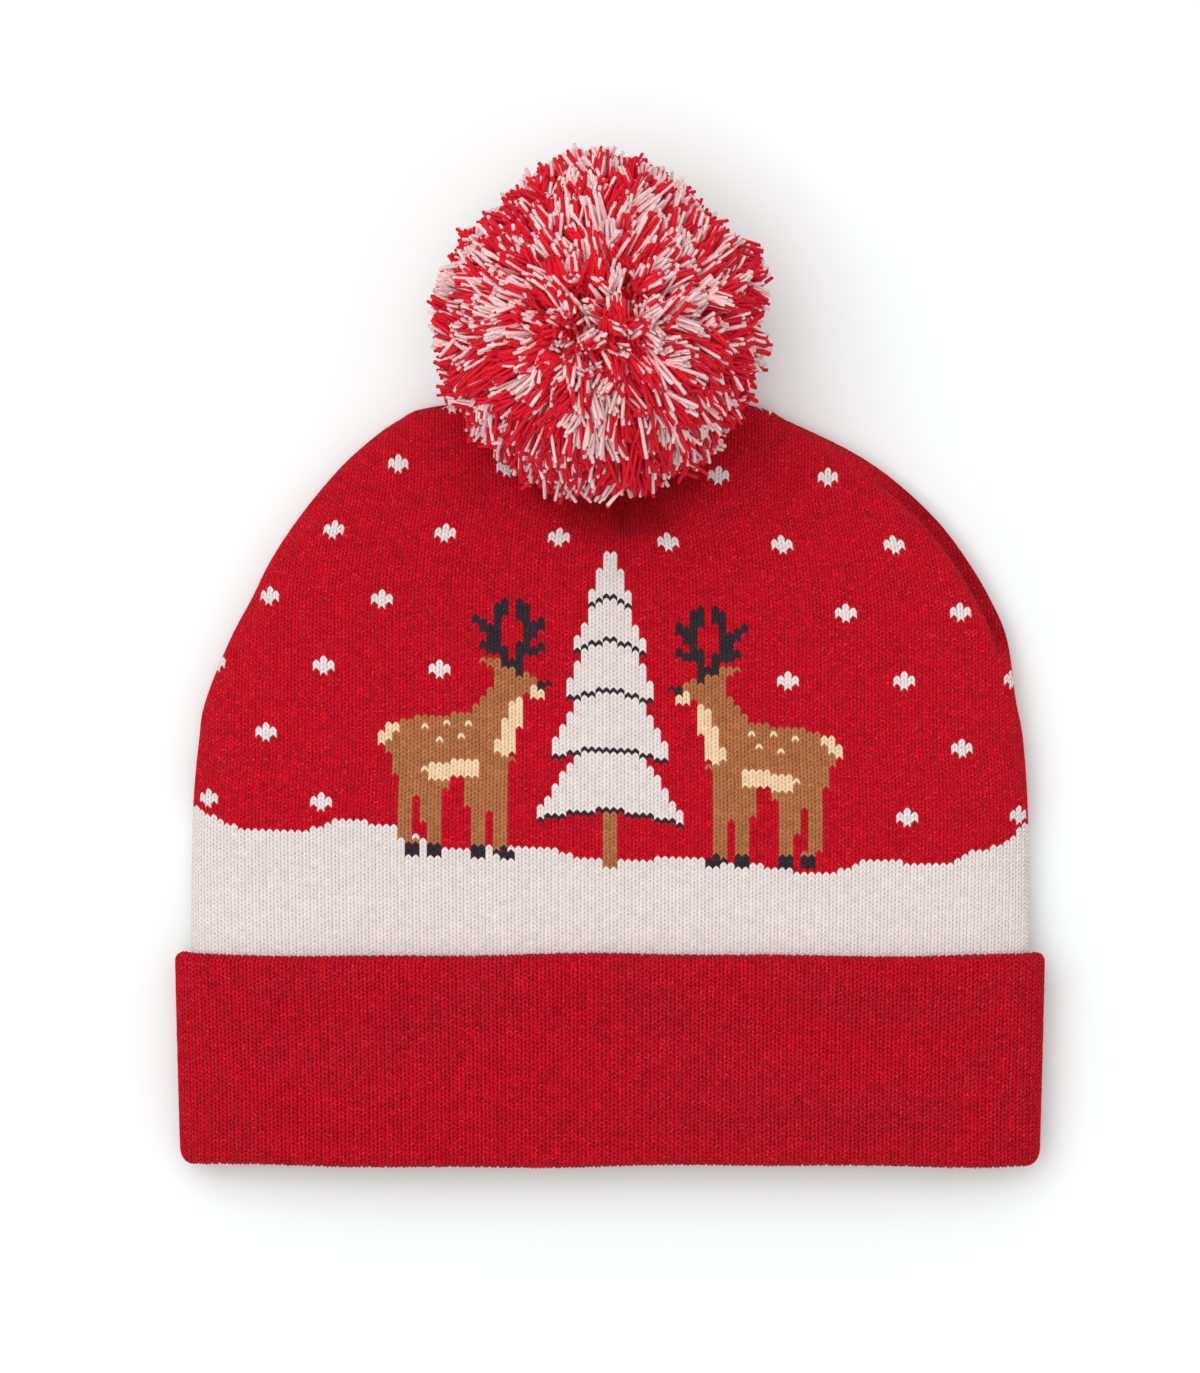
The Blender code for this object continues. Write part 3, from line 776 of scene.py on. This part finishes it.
def make_cuff():
    """Rows of loops along the hook as far as the back of the top edge, and a few plain rows behind."""
    knit = CUFF_KNIT
    rough, steps = cuff_profile()
    behind = steps[-3] + 3 * MM
    stations = np.append(np.arange(0, behind, knit.course), np.linspace(behind, steps[-2], 4))
    offsets = np.interp(stations, steps, rough[:, 0])
    heights = np.interp(stations, steps, rough[:, 1])
    wales, laid, room = lay_knit(knit, heights, offsets, np.zeros(len(heights)))
    laid[..., 1] += CUFF_WAVE * np.sin(laid[..., 0] / (23 * MM) + laid[..., 1] / (40 * MM))
    laid[..., 1] += 0.5 * CUFF_WAVE * np.sin(laid[..., 0] / (9 * MM) - laid[..., 1] / (15 * MM))
    laid[..., 2] += cuff_swell(laid, offsets)
    amount = np.where(stations < behind - 3 * MM, 1.0, 0.0)
    points = raise_loops(knit, wales, laid, room, amount)
    index = np.arange(laid.size // 3).reshape(laid.shape[:2])
    turn = 4 * knit.half_wales
    courses = np.arange(len(stations))
    faces, uv, cell = grid_triangles(index, wales, courses, turn, wrap_rows=True)
    colours = corner_colours(cell, all_red, 23)
    cuff = mesh_object("knitted_cuff", in_world(points.reshape(-1, 3)), faces, uv, colours)
    print("cuff:", len(faces), "triangles,", len(stations), "rows")
    return cuff


cuff = make_cuff()

# %% [markdown]
# The pompom is several thousand lengths of cut yarn, tied in the middle. The yarn is limp, so a
# length that starts out from the head soon leans over: away from the top, down with its weight, and
# into the tuft beside it. One strand is a thin tube round a bent line, and every strand is made at
# once as one array: a direction, a length, a lean and a colour for each. A lumpy ball of the same red
# closes the view between them.

# %% Sizes of the pompom
POMPOM_RADIUS = 46.4 * MM
POMPOM_SQUASH = 4.4 * MM
POMPOM_OVERLAP = 29.1 * MM
POMPOM_SIDE_SHIFT = -2.5 * MM
POMPOM_CENTRE = np.array([
    POMPOM_SIDE_SHIFT,
    CROWN_LENGTH + POMPOM_RADIUS - POMPOM_OVERLAP,
    POMPOM_RADIUS - POMPOM_SQUASH,
])
Reach = namedtuple("Reach", "angle share")
POMPOM_OUTLINE = (
    Reach(0, 0.98), Reach(22, 1.00), Reach(45, 0.92), Reach(67, 0.97), Reach(90, 1.02),
    Reach(112, 0.97), Reach(135, 0.93), Reach(157, 0.98), Reach(180, 1.01), Reach(202, 1.00),
    Reach(225, 1.03), Reach(247, 1.06), Reach(270, 1.05), Reach(292, 1.06), Reach(315, 1.02),
    Reach(337, 1.00), Reach(360, 0.98),
)
STRAND_COUNT = 10600
STRAND_RADIUS = 0.53 * MM
STRAND_SIDES = 4
STRAND_STEPS = 3
STRAND_ROOT_SHARE = 0.55
STRAND_REACH = 0.95
TUFT_COUNT = 620
TUFT_PULL = 0.30
TUFT_LEAN = 4 * MM
STRAND_LEAN = 2.4 * MM
STRAND_BEND = 0.50
COMBED_LEAN = 20 * MM
POLE_LEAN = 1.0
POLE_REACH = 0.06
LOOSE_DRAPED = 1.8
TUFT_UNEVEN = 0.03
STRAND_UNEVEN = 0.025
WHITE_THRESHOLD = 0.18
SAG = 2 * MM
DRAPE = 14 * MM
POMPOM_POLE = (0.00, -0.14, 1.0)
CORE_SHARE = 0.76
CORE_RINGS = 121
CORE_SPOKES = 240
print("pompom centre:", np.round(POMPOM_CENTRE * 1000, 1), "mm")


# %% Directions, tufts and colours of the strands
def scattered_directions(count, rng):
    """Evenly spread directions: equal steps in height and golden-angle steps round, then jittered."""
    height = 1 - 2 * (np.arange(count) + 0.5) / count
    angle = np.arange(count) * np.pi * (3 - np.sqrt(5))
    flat = np.sqrt(1 - height**2)
    out = np.stack([flat * np.cos(angle), flat * np.sin(angle), height], -1)
    out = out + 0.6 / np.sqrt(count) * rng.standard_normal(out.shape)
    return out / np.linalg.norm(out, axis=1, keepdims=True)


def unit(vectors):
    """Vectors divided by their lengths."""
    return vectors / np.linalg.norm(vectors, axis=-1, keepdims=True)


def outline_share(direction):
    """The outline's reach at each direction's angle from above, fading towards the top and bottom."""
    angle = np.degrees(np.arctan2(direction[:, 1], direction[:, 0])) % 360
    share = np.interp(angle, [r.angle for r in POMPOM_OUTLINE], [r.share for r in POMPOM_OUTLINE])
    return 1 + (share - 1) * (1 - direction[:, 2] ** 2)


def strand_lines(rng):
    """Centre lines (strands, steps + 1, 3), and whether each strand is white.

    A strand runs from its root on the head to its tip on the outline as a curve through three
    places: (1 - t)^2 root + 2 t (1 - t) bend + t^2 tip. The tips are spread evenly, and the roots are
    set back from them against the lean, so that no bare patch is left between tufts.
    """
    away = scattered_directions(STRAND_COUNT, rng)
    tufts = scattered_directions(TUFT_COUNT, rng)
    nearest = np.argmax(away @ tufts.T, axis=1)
    pole = unit(np.array(POMPOM_POLE))
    combed = tufts - pole * (tufts @ pole)[:, None]
    unruly = 1 + POLE_LEAN * np.exp((tufts @ pole - 1) / POLE_REACH)[:, None]
    tuft_lean = COMBED_LEAN * combed + TUFT_LEAN * unruly * rng.standard_normal(tufts.shape)
    draped = smooth_step((-away[:, 1] - 0.2) / 0.5) * smooth_step((away[:, 2] + 0.2) / 0.4)
    loose = 1 + LOOSE_DRAPED * draped[:, None]
    lean = (0.5 + 0.5 * loose) * tuft_lean[nearest]
    lean += loose * STRAND_LEAN * rng.standard_normal(away.shape)
    lean[:, 1] -= DRAPE * draped
    lean[:, 2] -= SAG
    towards = unit(away + TUFT_PULL * (tufts[nearest] - away))
    tuft_reach = 1 + TUFT_UNEVEN * rng.standard_normal(TUFT_COUNT)
    reach = STRAND_REACH * POMPOM_RADIUS * outline_share(towards) * tuft_reach[nearest]
    reach *= 1 + STRAND_UNEVEN * rng.standard_normal(STRAND_COUNT)
    tip = towards * reach[:, None]
    outward = unit(away - lean / POMPOM_RADIUS)
    root = STRAND_ROOT_SHARE * POMPOM_RADIUS * outward
    bend = root + STRAND_BEND * np.linalg.norm(tip - root, axis=1, keepdims=True) * outward
    t = np.linspace(0, 1, STRAND_STEPS + 1)[None, :, None]
    lines = (1 - t) ** 2 * root[:, None] + 2 * t * (1 - t) * bend[:, None] + t**2 * tip[:, None]
    tone = np.sin(9 * away[:, 0] + 3) + np.sin(8 * away[:, 1] + 1) + np.sin(10 * away[:, 2])
    tone = 0.25 * tone + 0.5 * rng.standard_normal(TUFT_COUNT)[nearest] - 0.25 * draped
    white = tone + 0.8 * rng.standard_normal(STRAND_COUNT) > WHITE_THRESHOLD
    return POMPOM_CENTRE + lines, white


def keep_clear(lines):
    """Push strands up off the table, and up and out of the crown where they meet it."""
    x, y, z = lines[..., 0], lines[..., 1], lines[..., 2]
    middle, half, *_ = section(y)
    over = (np.abs(x - middle) < half) & (y < CROWN_LENGTH)
    top = front_height(x, y) + STRAND_RADIUS + 0.3 * MM
    lift = np.where(over, top, STRAND_RADIUS)
    z = np.maximum(z, lift)
    return np.stack([x, y, z], -1)


# %% Tubes round many lines at once
def tubes(lines, radii, sides):
    """A tube round every line, closed at both ends by a point.

    The frame at each point is the line's direction and two vectors square to it, and the ring is
    centre + radius * (cos a * first + sin a * second).
    """
    count, steps = lines.shape[:2]
    along = unit(np.gradient(lines, axis=1) + 1e-9)
    helper = np.where(np.abs(along[..., 2:3]) < 0.9, [0.0, 0.0, 1.0], [1.0, 0.0, 0.0])
    first = unit(np.cross(along, helper))
    second = np.cross(along, first)
    angle = np.linspace(0, 2 * np.pi, sides, endpoint=False)[:, None]
    circle = np.cos(angle) * first[..., None, :] + np.sin(angle) * second[..., None, :]
    rings = lines[..., None, :] + radii[:, :, None, None] * circle
    tip = lines[:, -1] + along[:, -1] * radii[:, -1:] * 0.6
    points = np.concatenate([rings.reshape(count, -1, 3), lines[:, :1], tip[:, None]], axis=1)
    return points


def tube_faces(steps, sides):
    """Triangles of one tube whose rings are followed by its two end points."""
    ring, side = np.meshgrid(np.arange(steps - 1), np.arange(sides), indexing="ij")
    a = ring * sides + side
    b = ring * sides + (side + 1) % sides
    c, d = b + sides, a + sides
    walls = np.concatenate([np.stack([a, b, c], -1), np.stack([a, c, d], -1)]).reshape(-1, 3)
    k = np.arange(sides)
    after = (k + 1) % sides
    start, end = steps * sides, steps * sides + 1
    last = (steps - 1) * sides
    low = np.stack([np.full(sides, start), after, k], -1)
    high = np.stack([np.full(sides, end), last + k, last + after], -1)
    return np.concatenate([walls, low, high])


def strands_object(name, lines, radii, uv_seed):
    """All strands of one yarn as one mesh, with UV (angle, millimetres along) and a shade each."""
    points = tubes(lines, radii, STRAND_SIDES)
    one = tube_faces(lines.shape[1], STRAND_SIDES)
    count, each = points.shape[:2]
    faces = (one[None] + np.arange(count)[:, None, None] * each).reshape(-1, 3)
    ring = np.append(np.repeat(np.arange(lines.shape[1]), STRAND_SIDES), [0, lines.shape[1]])
    turn = np.append(np.tile(np.arange(STRAND_SIDES), lines.shape[1]) / STRAND_SIDES, [0.5, 0.5])
    corner_turn = turn[one]
    wraps = corner_turn.max(axis=1, keepdims=True) - corner_turn > 0.6
    corner_turn = corner_turn + wraps
    shift = np.random.default_rng(uv_seed).random(count)
    u = np.tile(corner_turn[None], (count, 1, 1)) + shift[:, None, None]
    v = np.tile((ring[one] * 4.5)[None], (count, 1, 1)) + shift[:, None, None] * 9
    uv = np.stack([u, v], -1).reshape(-1, 3, 2)
    shade = 0.86 + 0.28 * np.random.default_rng(uv_seed + 1).random(count)
    # The share from root to tip, which the material uses to paint shade near the root.
    depth = (np.clip(ring / (lines.shape[1] - 1), 0, 1) ** 1.7)[one]
    colours = np.stack([
        np.repeat(shade, one.size).reshape(count, -1, 3),
        np.tile(depth[None], (count, 1, 1)),
        np.zeros((count, len(one), 3)),
        np.ones((count, len(one), 3)),
    ], -1).reshape(-1, 3, 4)
    piece = mesh_object(name, in_world(points.reshape(-1, 3)), faces, uv, colours)
    print(name + ":", count, "strands,", len(faces), "triangles")
    return piece


# %% Make the pompom
def make_pompom():
    """The strands of both yarns, one mesh for each."""
    rng = np.random.default_rng(5)
    lines, white = strand_lines(rng)
    lines = keep_clear(lines)
    radii = STRAND_RADIUS * (1 + 0.10 * rng.standard_normal((STRAND_COUNT, 1)))
    radii = radii * np.array([0.8, 1.0, 1.0, 0.92])
    red = strands_object("pompom_red_strands", lines[~white], radii[~white], 3)
    pale = strands_object("pompom_white_strands", lines[white], radii[white], 4)
    return red, pale


def make_pompom_core():
    """A lumpy ball: centre + reach * direction over a grid of angles.

    The reach is a share of the pompom's outline times 1 + bumps, where the bumps are a product of
    sines that fades out at both poles.
    """
    down = np.linspace(0, np.pi, CORE_RINGS)[:, None]
    turn = np.linspace(0, 2 * np.pi, CORE_SPOKES, endpoint=False)[None, :]
    direction = np.stack([
        np.sin(down) * np.cos(turn),
        np.sin(down) * np.sin(turn),
        np.cos(down) + 0 * turn,
    ], -1)
    bumps = 0.03 * np.sin(23 * turn + 9 * down) * np.sin(31 * down + 5 * turn) * np.sin(down)
    share = outline_share(direction.reshape(-1, 3)).reshape(bumps.shape)
    reach = CORE_SHARE * POMPOM_RADIUS * share * (1 + bumps)
    points = keep_clear(POMPOM_CENTRE + reach[..., None] * direction)
    index = np.arange(points.size // 3).reshape(points.shape[:2])
    index[0] = index[0, 0]
    index[-1] = index[-1, 0]
    faces, uv, _ = grid_triangles(
        index[::-1], np.arange(float(CORE_SPOKES)), np.arange(float(CORE_RINGS)), CORE_SPOKES
    )
    return mesh_object("pompom_core", in_world(points.reshape(-1, 3)), faces, uv)


pompom_red, pompom_white = make_pompom()
pompom_core = make_pompom_core()

# %% [markdown]
# Every material is wool-like acrylic yarn. Close up, a loop's leg is two plies twisted together, so a
# shader node group draws that: it reads the stitch coordinates, gives a height for the bump and a
# mask for the painted shade in the grooves, and is used by the crown and the cuff alike. A second
# group draws the loose fibres and flecks that any yarn has, from noise at two scales, and where the
# loose fibres catch the light it gives a mask for a painted highlight.

# %% Shader helpers
def new_group(name, inputs, outputs):
    """An empty shader node group with float or vector sockets, and its input and output nodes."""
    group = bpy.data.node_groups.new(name, "ShaderNodeTree")
    for label, kind, value in inputs:
        socket = group.interface.new_socket(label, in_out="INPUT", socket_type=kind)
        if value is not None:
            socket.default_value = value
    for label, kind in outputs:
        group.interface.new_socket(label, in_out="OUTPUT", socket_type=kind)
    return group, group.nodes.new("NodeGroupInput"), group.nodes.new("NodeGroupOutput")


def feed(tree, socket, value):
    """Link the value to the socket if it is itself a socket, and else set it there."""
    if isinstance(value, bpy.types.NodeSocket):
        tree.links.new(value, socket)
    elif value is not None:
        socket.default_value = (*value, 1) if isinstance(value, tuple) else value


def maths(tree, operation, *arguments):
    """A Math node whose arguments are sockets or numbers. Returns its output socket."""
    node = tree.nodes.new("ShaderNodeMath")
    node.operation = operation
    for socket, value in zip(node.inputs, arguments):
        feed(tree, socket, value)
    return node.outputs[0]


def times(tree, first, second):
    """The product of two sockets or numbers."""
    return maths(tree, "MULTIPLY", first, second)


def sine(tree, value, factor):
    """sin(factor * value)."""
    return maths(tree, "SINE", times(tree, value, factor))


def mixed(tree, blend, first, second, factor):
    """A Mix node for colours, whose arguments are sockets or values. Returns its output socket."""
    node = tree.nodes.new("ShaderNodeMix")
    node.data_type = "RGBA"
    node.blend_type = blend
    for label, value in (("A", first), ("B", second), ("Factor", factor)):
        feed(tree, node.inputs[label], value)
    return node.outputs["Result"]


def noise(tree, vector, scale, detail):
    """A Noise Texture's value."""
    node = tree.nodes.new("ShaderNodeTexNoise")
    for label, value in (("Vector", vector), ("Scale", scale), ("Detail", detail)):
        feed(tree, node.inputs[label], value)
    return node.outputs["Fac"]


# %% Node group for the loops of the knit
def knit_group():
    """Height of a loop, and the mask for the painted shade of its grooves, from its place in the
    stitch.

    leg = |sin(2 pi u)|^0.6 peaks on both legs and loop = |sin(pi v)|^0.5 peaks mid-loop. The height is
    leg * (0.3 + 0.7 loop) plus the plies, sin(2 pi (3u + 2v)) * twist. The groove mask, for painted
    shade, adds the gaps between legs and between loops, 0.3 (1 - leg) + 0.3 (1 - loop), to the holes
    where both meet, 1.3 (1 - leg) (1 - loop).
    """
    group, given, out = new_group(
        "knit_loops",
        (("Stitch", "NodeSocketVector", None), ("Twist", "NodeSocketFloat", 0.12)),
        (("Height", "NodeSocketFloat"), ("Groove", "NodeSocketFloat")),
    )
    split = group.nodes.new("ShaderNodeSeparateXYZ")
    group.links.new(given.outputs["Stitch"], split.inputs[0])
    u, v = split.outputs[0], split.outputs[1]
    leg = maths(group, "POWER", maths(group, "ABSOLUTE", sine(group, u, 2 * np.pi)), 0.6)
    loop = maths(group, "POWER", maths(group, "ABSOLUTE", sine(group, v, np.pi)), 0.5)
    body = times(group, maths(group, "MULTIPLY_ADD", loop, 0.7, 0.3), leg)
    slant = maths(group, "ADD", times(group, u, 3.0), times(group, v, 2.0))
    twist = times(group, sine(group, slant, 2 * np.pi), given.outputs["Twist"])
    feed(group, out.inputs["Height"], maths(group, "ADD", body, times(group, twist, leg)))
    beside = maths(group, "SUBTRACT", 1.0, leg)
    between = maths(group, "SUBTRACT", 1.0, loop)
    hole = times(group, times(group, beside, between), 1.3)
    gaps = times(group, maths(group, "ADD", beside, between), 0.3)
    feed(group, out.inputs["Groove"], maths(group, "ADD", hole, gaps))
    return group


def fibre_group():
    """Shade is 1 + amount * (0.85 fine + 0.15 broad - 0.5), of noise at 0.5 mm and at 4 mm.

    The third output is 0 where the fine noise is below 0.60 and climbs steeply above it: pale loose
    fibres, partly their own paler colour and partly a painted highlight where they catch the light.
    """
    group, given, out = new_group(
        "yarn_fibres",
        (("Vector", "NodeSocketVector", None), ("Amount", "NodeSocketFloat", 0.5)),
        (("Shade", "NodeSocketFloat"), ("Fuzz", "NodeSocketFloat"), ("LintGlint", "NodeSocketFloat")),
    )
    fine = noise(group, given.outputs["Vector"], 2000, 3)
    broad = noise(group, given.outputs["Vector"], 260, 2)
    both = maths(group, "ADD", times(group, fine, 0.85), times(group, broad, 0.15))
    around = maths(group, "SUBTRACT", both, 0.5)
    stray_glint = maths(group, "MAXIMUM", maths(group, "SUBTRACT", fine, 0.60), 0.0)
    feed(group, out.inputs["Shade"], maths(group, "MULTIPLY_ADD", around, given.outputs["Amount"], 1.0))
    feed(group, out.inputs["Fuzz"], fine)
    feed(group, out.inputs["LintGlint"], maths(group, "MINIMUM", times(group, stray_glint, 8.0), 1.0))
    return group


KNIT_LOOPS = knit_group()
YARN_FIBRES = fibre_group()
print("node groups:", KNIT_LOOPS.name, YARN_FIBRES.name)


# %% Material of the knitted pieces
FLECK_CONTRAST = 1.5
KNIT_SHEEN = (0.60, 0.09, 0.10)
# Added where loose fibres lie: partly their paler colour, partly a painted highlight on them.
LINT_GLINT_COLOUR = (0.09, 0.045, 0.045)


def place_group(tree, group, **values):
    """A group node in a material, with each named input linked or set."""
    node = tree.nodes.new("ShaderNodeGroup")
    node.node_tree = group
    for label, value in values.items():
        feed(tree, node.inputs[label], value)
    return node


def scaled_colour(tree, colour, factor):
    """Colour times a grey factor, by a Mix node set to multiply."""
    combine = tree.nodes.new("ShaderNodeCombineColor")
    for socket in combine.inputs:
        feed(tree, socket, factor)
    return mixed(tree, "MULTIPLY", colour, combine.outputs[0], 1.0)


def mesh_data(tree):
    """What a material reads from its mesh: stitch coordinates, the yarn attribute, and the place."""
    stitch = tree.nodes.new("ShaderNodeUVMap")
    stitch.uv_map = "stitches"
    yarn = tree.nodes.new("ShaderNodeAttribute")
    yarn.attribute_name = "yarn"
    place = tree.nodes.new("ShaderNodeTexCoord")
    return stitch.outputs[0], yarn.outputs, place.outputs["Object"]


def add_bump(tree, shader, height, strength, distance):
    """Height as a bump on the shader's normal."""
    bump = tree.nodes.new("ShaderNodeBump")
    for label, value in (("Height", height), ("Strength", strength), ("Distance", distance)):
        feed(tree, bump.inputs[label], value)
    tree.links.new(bump.outputs["Normal"], shader.inputs["Normal"])


def blank_material(name):
    """A material with only its Principled BSDF, and that shader."""
    material = bpy.data.materials.new(name)
    material.use_nodes = True
    return material, material.node_tree, material.node_tree.nodes["Principled BSDF"]


def woolly_surface(tree, shader, colour, sheen_tint):
    """Colour, and a sheen of loose fibres in a paler tint of it, with hardly any gloss."""
    tree.links.new(colour, shader.inputs["Base Color"])
    shader.inputs["Sheen Tint"].default_value = (*sheen_tint, 1)
    shader.inputs["Sheen Weight"].default_value = 0.25
    shader.inputs["Sheen Roughness"].default_value = 0.5
    shader.inputs["Roughness"].default_value = 0.9
    shader.inputs["Specular IOR Level"].default_value = 0.08


def knit_material(name, groove_shade_tint, groove_shade_strength, relief):
    """Yarn colour from the mesh, flecked, with painted shade in the grooves and the loops as bump.

    The painted shade in the grooves is scaled by strength * (0.35 + 0.65 fleck), faint on white, and
    by an uneven noise, as no two loops are pulled equally tight. Loose fibres add a painted highlight.
    """
    material, tree, shader = blank_material(name)
    stitch, yarn, place = mesh_data(tree)
    loops = place_group(tree, KNIT_LOOPS, Stitch=stitch, Twist=0.12)
    flecks = times(tree, yarn["Alpha"], FLECK_CONTRAST)
    fibres = place_group(tree, YARN_FIBRES, Vector=place, Amount=flecks)
    yarn_share = maths(tree, "MULTIPLY_ADD", yarn["Alpha"], 0.65, 0.35)
    uneven = maths(tree, "MULTIPLY_ADD", noise(tree, place, 620, 1), 1.8, 0.1)
    strength = times(tree, times(tree, yarn_share, uneven), groove_shade_strength)
    # Painted shade: the groove tint darkens the yarn colour in the grooves between legs and loops.
    depth = maths(tree, "MINIMUM", times(tree, loops.outputs["Groove"], strength), 1.0)
    groove_shaded = mixed(tree, "MULTIPLY", yarn["Color"], groove_shade_tint, depth)
    shaded = scaled_colour(tree, groove_shaded, fibres.outputs["Shade"])
    # Painted highlight: a pale tint is added where the loose fibres lie, as where they catch the light.
    stray_glint = times(tree, fibres.outputs["LintGlint"], maths(tree, "POWER", yarn["Alpha"], 3.0))
    woolly_surface(tree, shader, mixed(tree, "ADD", shaded, LINT_GLINT_COLOUR, stray_glint), KNIT_SHEEN)
    height = maths(tree, "MULTIPLY_ADD", fibres.outputs["Fuzz"], 0.25, loops.outputs["Height"])
    add_bump(tree, shader, height, 0.8, relief)
    return material


def strand_material(name, colour, root_shade_tint):
    """Cut yarn: two plies twisted, with painted shade deepening the colour near the root, each strand
    in its own tone.
    """
    material, tree, shader = blank_material(name)
    stitch, data, place = mesh_data(tree)
    split = tree.nodes.new("ShaderNodeSeparateColor")
    tree.links.new(data["Color"], split.inputs[0])
    # Painted shade: towards the root the colour moves to the root tint, deeper red on red strands and
    # pink on white ones, as for dim light reddened among the red strands.
    along = mixed(tree, "MIX", root_shade_tint, colour, split.outputs["Green"])
    fibres = place_group(tree, YARN_FIBRES, Vector=place, Amount=0.5)
    shade = times(tree, split.outputs["Red"], fibres.outputs["Shade"])
    woolly_surface(tree, shader, scaled_colour(tree, along, shade), colour)
    across = tree.nodes.new("ShaderNodeSeparateXYZ")
    tree.links.new(stitch, across.inputs[0])
    slant = maths(tree, "ADD", across.outputs[0], times(tree, across.outputs[1], 0.45))
    ply = maths(tree, "ABSOLUTE", sine(tree, slant, 2 * np.pi))
    height = maths(tree, "MULTIPLY_ADD", fibres.outputs["Fuzz"], 0.4, ply)
    add_bump(tree, shader, height, 0.7, 0.2 * MM)
    return material


def plain_yarn_material(name, colour):
    """Wound yarn that is hardly seen: one colour, flecked, with its fibres as bump."""
    material, tree, shader = blank_material(name)
    place = tree.nodes.new("ShaderNodeTexCoord").outputs["Object"]
    fibres = place_group(tree, YARN_FIBRES, Vector=place, Amount=0.8)
    woolly_surface(tree, shader, scaled_colour(tree, colour, fibres.outputs["Shade"]), colour)
    add_bump(tree, shader, fibres.outputs["Fuzz"], 1.0, 0.3 * MM)
    return material


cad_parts["pompom_tie"].data.materials.clear()
for piece, material in (
    # The knits' groove tints are painted shade in the grooves.
    (crown, knit_material("crown_knit_yarn", (0.30, 0.20, 0.20), 1.1, 0.40 * MM)),
    (cuff, knit_material("cuff_knit_yarn", (0.20, 0.14, 0.14), 1.4, 0.45 * MM)),
    # The strands' root tints are painted shade, pink on white strands as for light bounced off red
    # ones.
    (pompom_red, strand_material("red_strands", (0.71, 0.014, 0.032), (0.64, 0.007, 0.020))),
    (pompom_white, strand_material("white_strands", (0.87, 0.60, 0.60), (0.87, 0.20, 0.22))),
    (pompom_core, plain_yarn_material("core_yarn", (0.72, 0.010, 0.026))),
    (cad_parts["pompom_tie"], plain_yarn_material("tie_yarn", (0.42, 0.005, 0.012))),
):
    piece.data.materials.append(material)
    print(piece.name, "is made of", material.name)

# %% [markdown]
# The new pieces take the place of the CAD solids. The tie stays as it is, in plain red yarn, hidden
# between the pompom and the crown.

# %% Hang the pieces on the frame
for piece, node, slot in (
    (crown, "crown", "crown_knit"),
    (cuff, "cuff", "cuff_knit"),
    (pompom_red, "pompom", "pompom_yarn"),
    (pompom_white, "pompom", "pompom_yarn"),
    (pompom_core, "pompom", "pompom_yarn"),
):
    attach(piece, "root")
    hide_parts(node)

# %% [markdown]
# The hat was photographed from straight above on a white table, with a large soft light at the upper
# left. The camera is far away with a long lens, so that the pompom isn't enlarged by being nearer.

# %% Table, light and camera
IMAGE_WIDTH = 1200
IMAGE_HEIGHT = 1373
PIXEL = 0.276 * MM
MIDDLE_X = (IMAGE_WIDTH / 2 - 610) * PIXEL
MIDDLE_Y = CUFF_FOLD_Y + (1165 - IMAGE_HEIGHT / 2) * PIXEL
CAMERA_HEIGHT = 2.6
SCALE_LEVEL = 12 * MM
SENSOR = 36
KEY_PLACE = (-0.72, 0.60, 3.0)
KEY_SIZE = 3.0
KEY_POWER = 70
ROOM_LIGHT = 0.78


def make_table():
    """A wide square just under the hat, in a matt cool white that balances the hat's red glow on it."""
    half = 3.0
    corners = np.array([(-half, -half, 0), (half, -half, 0), (half, half, 0), (-half, half, 0)])
    table = mesh_object("table", corners - np.array([0, 0, 0.05 * MM]), np.array([[0, 1, 2, 3]]))
    material, _, shader = blank_material("white_table")
    shader.inputs["Base Color"].default_value = (0.80, 0.828, 0.828, 1)
    shader.inputs["Roughness"].default_value = 0.9
    table.data.materials.append(material)


def area_light(name, place, size, power):
    """A square light that faces the hat."""
    light = bpy.data.lights.new(name, "AREA")
    light.size = size
    light.energy = power
    lamp = bpy.data.objects.new(name, light)
    lamp.location = place
    aim = -lamp.location
    lamp.rotation_euler = aim.to_track_quat("-Z", "Y").to_euler()
    bpy.context.scene.collection.objects.link(lamp)


def make_camera():
    """Straight down: the lens is sensor * distance / length of the view, for the longer side."""
    data = bpy.data.cameras.new("camera")
    data.sensor_width = SENSOR
    data.lens = SENSOR * (CAMERA_HEIGHT - SCALE_LEVEL) / (IMAGE_HEIGHT * PIXEL)
    data.clip_end = 10
    camera = bpy.data.objects.new("camera", data)
    camera.location = (MIDDLE_X, MIDDLE_Y, CAMERA_HEIGHT)
    bpy.context.scene.collection.objects.link(camera)
    bpy.context.scene.camera = camera


make_table()
area_light("key", KEY_PLACE, KEY_SIZE, KEY_POWER)
make_camera()
bpy.context.scene.view_settings.view_transform = "Standard"
world = bpy.data.worlds.new("studio")
bpy.context.scene.world = world
world.use_nodes = True
background = world.node_tree.nodes["Background"]
background.inputs["Color"].default_value = (1, 1, 1, 1)
background.inputs["Strength"].default_value = ROOM_LIGHT
print("light of", KEY_POWER, "W at", KEY_PLACE, "in a room of strength", ROOM_LIGHT)
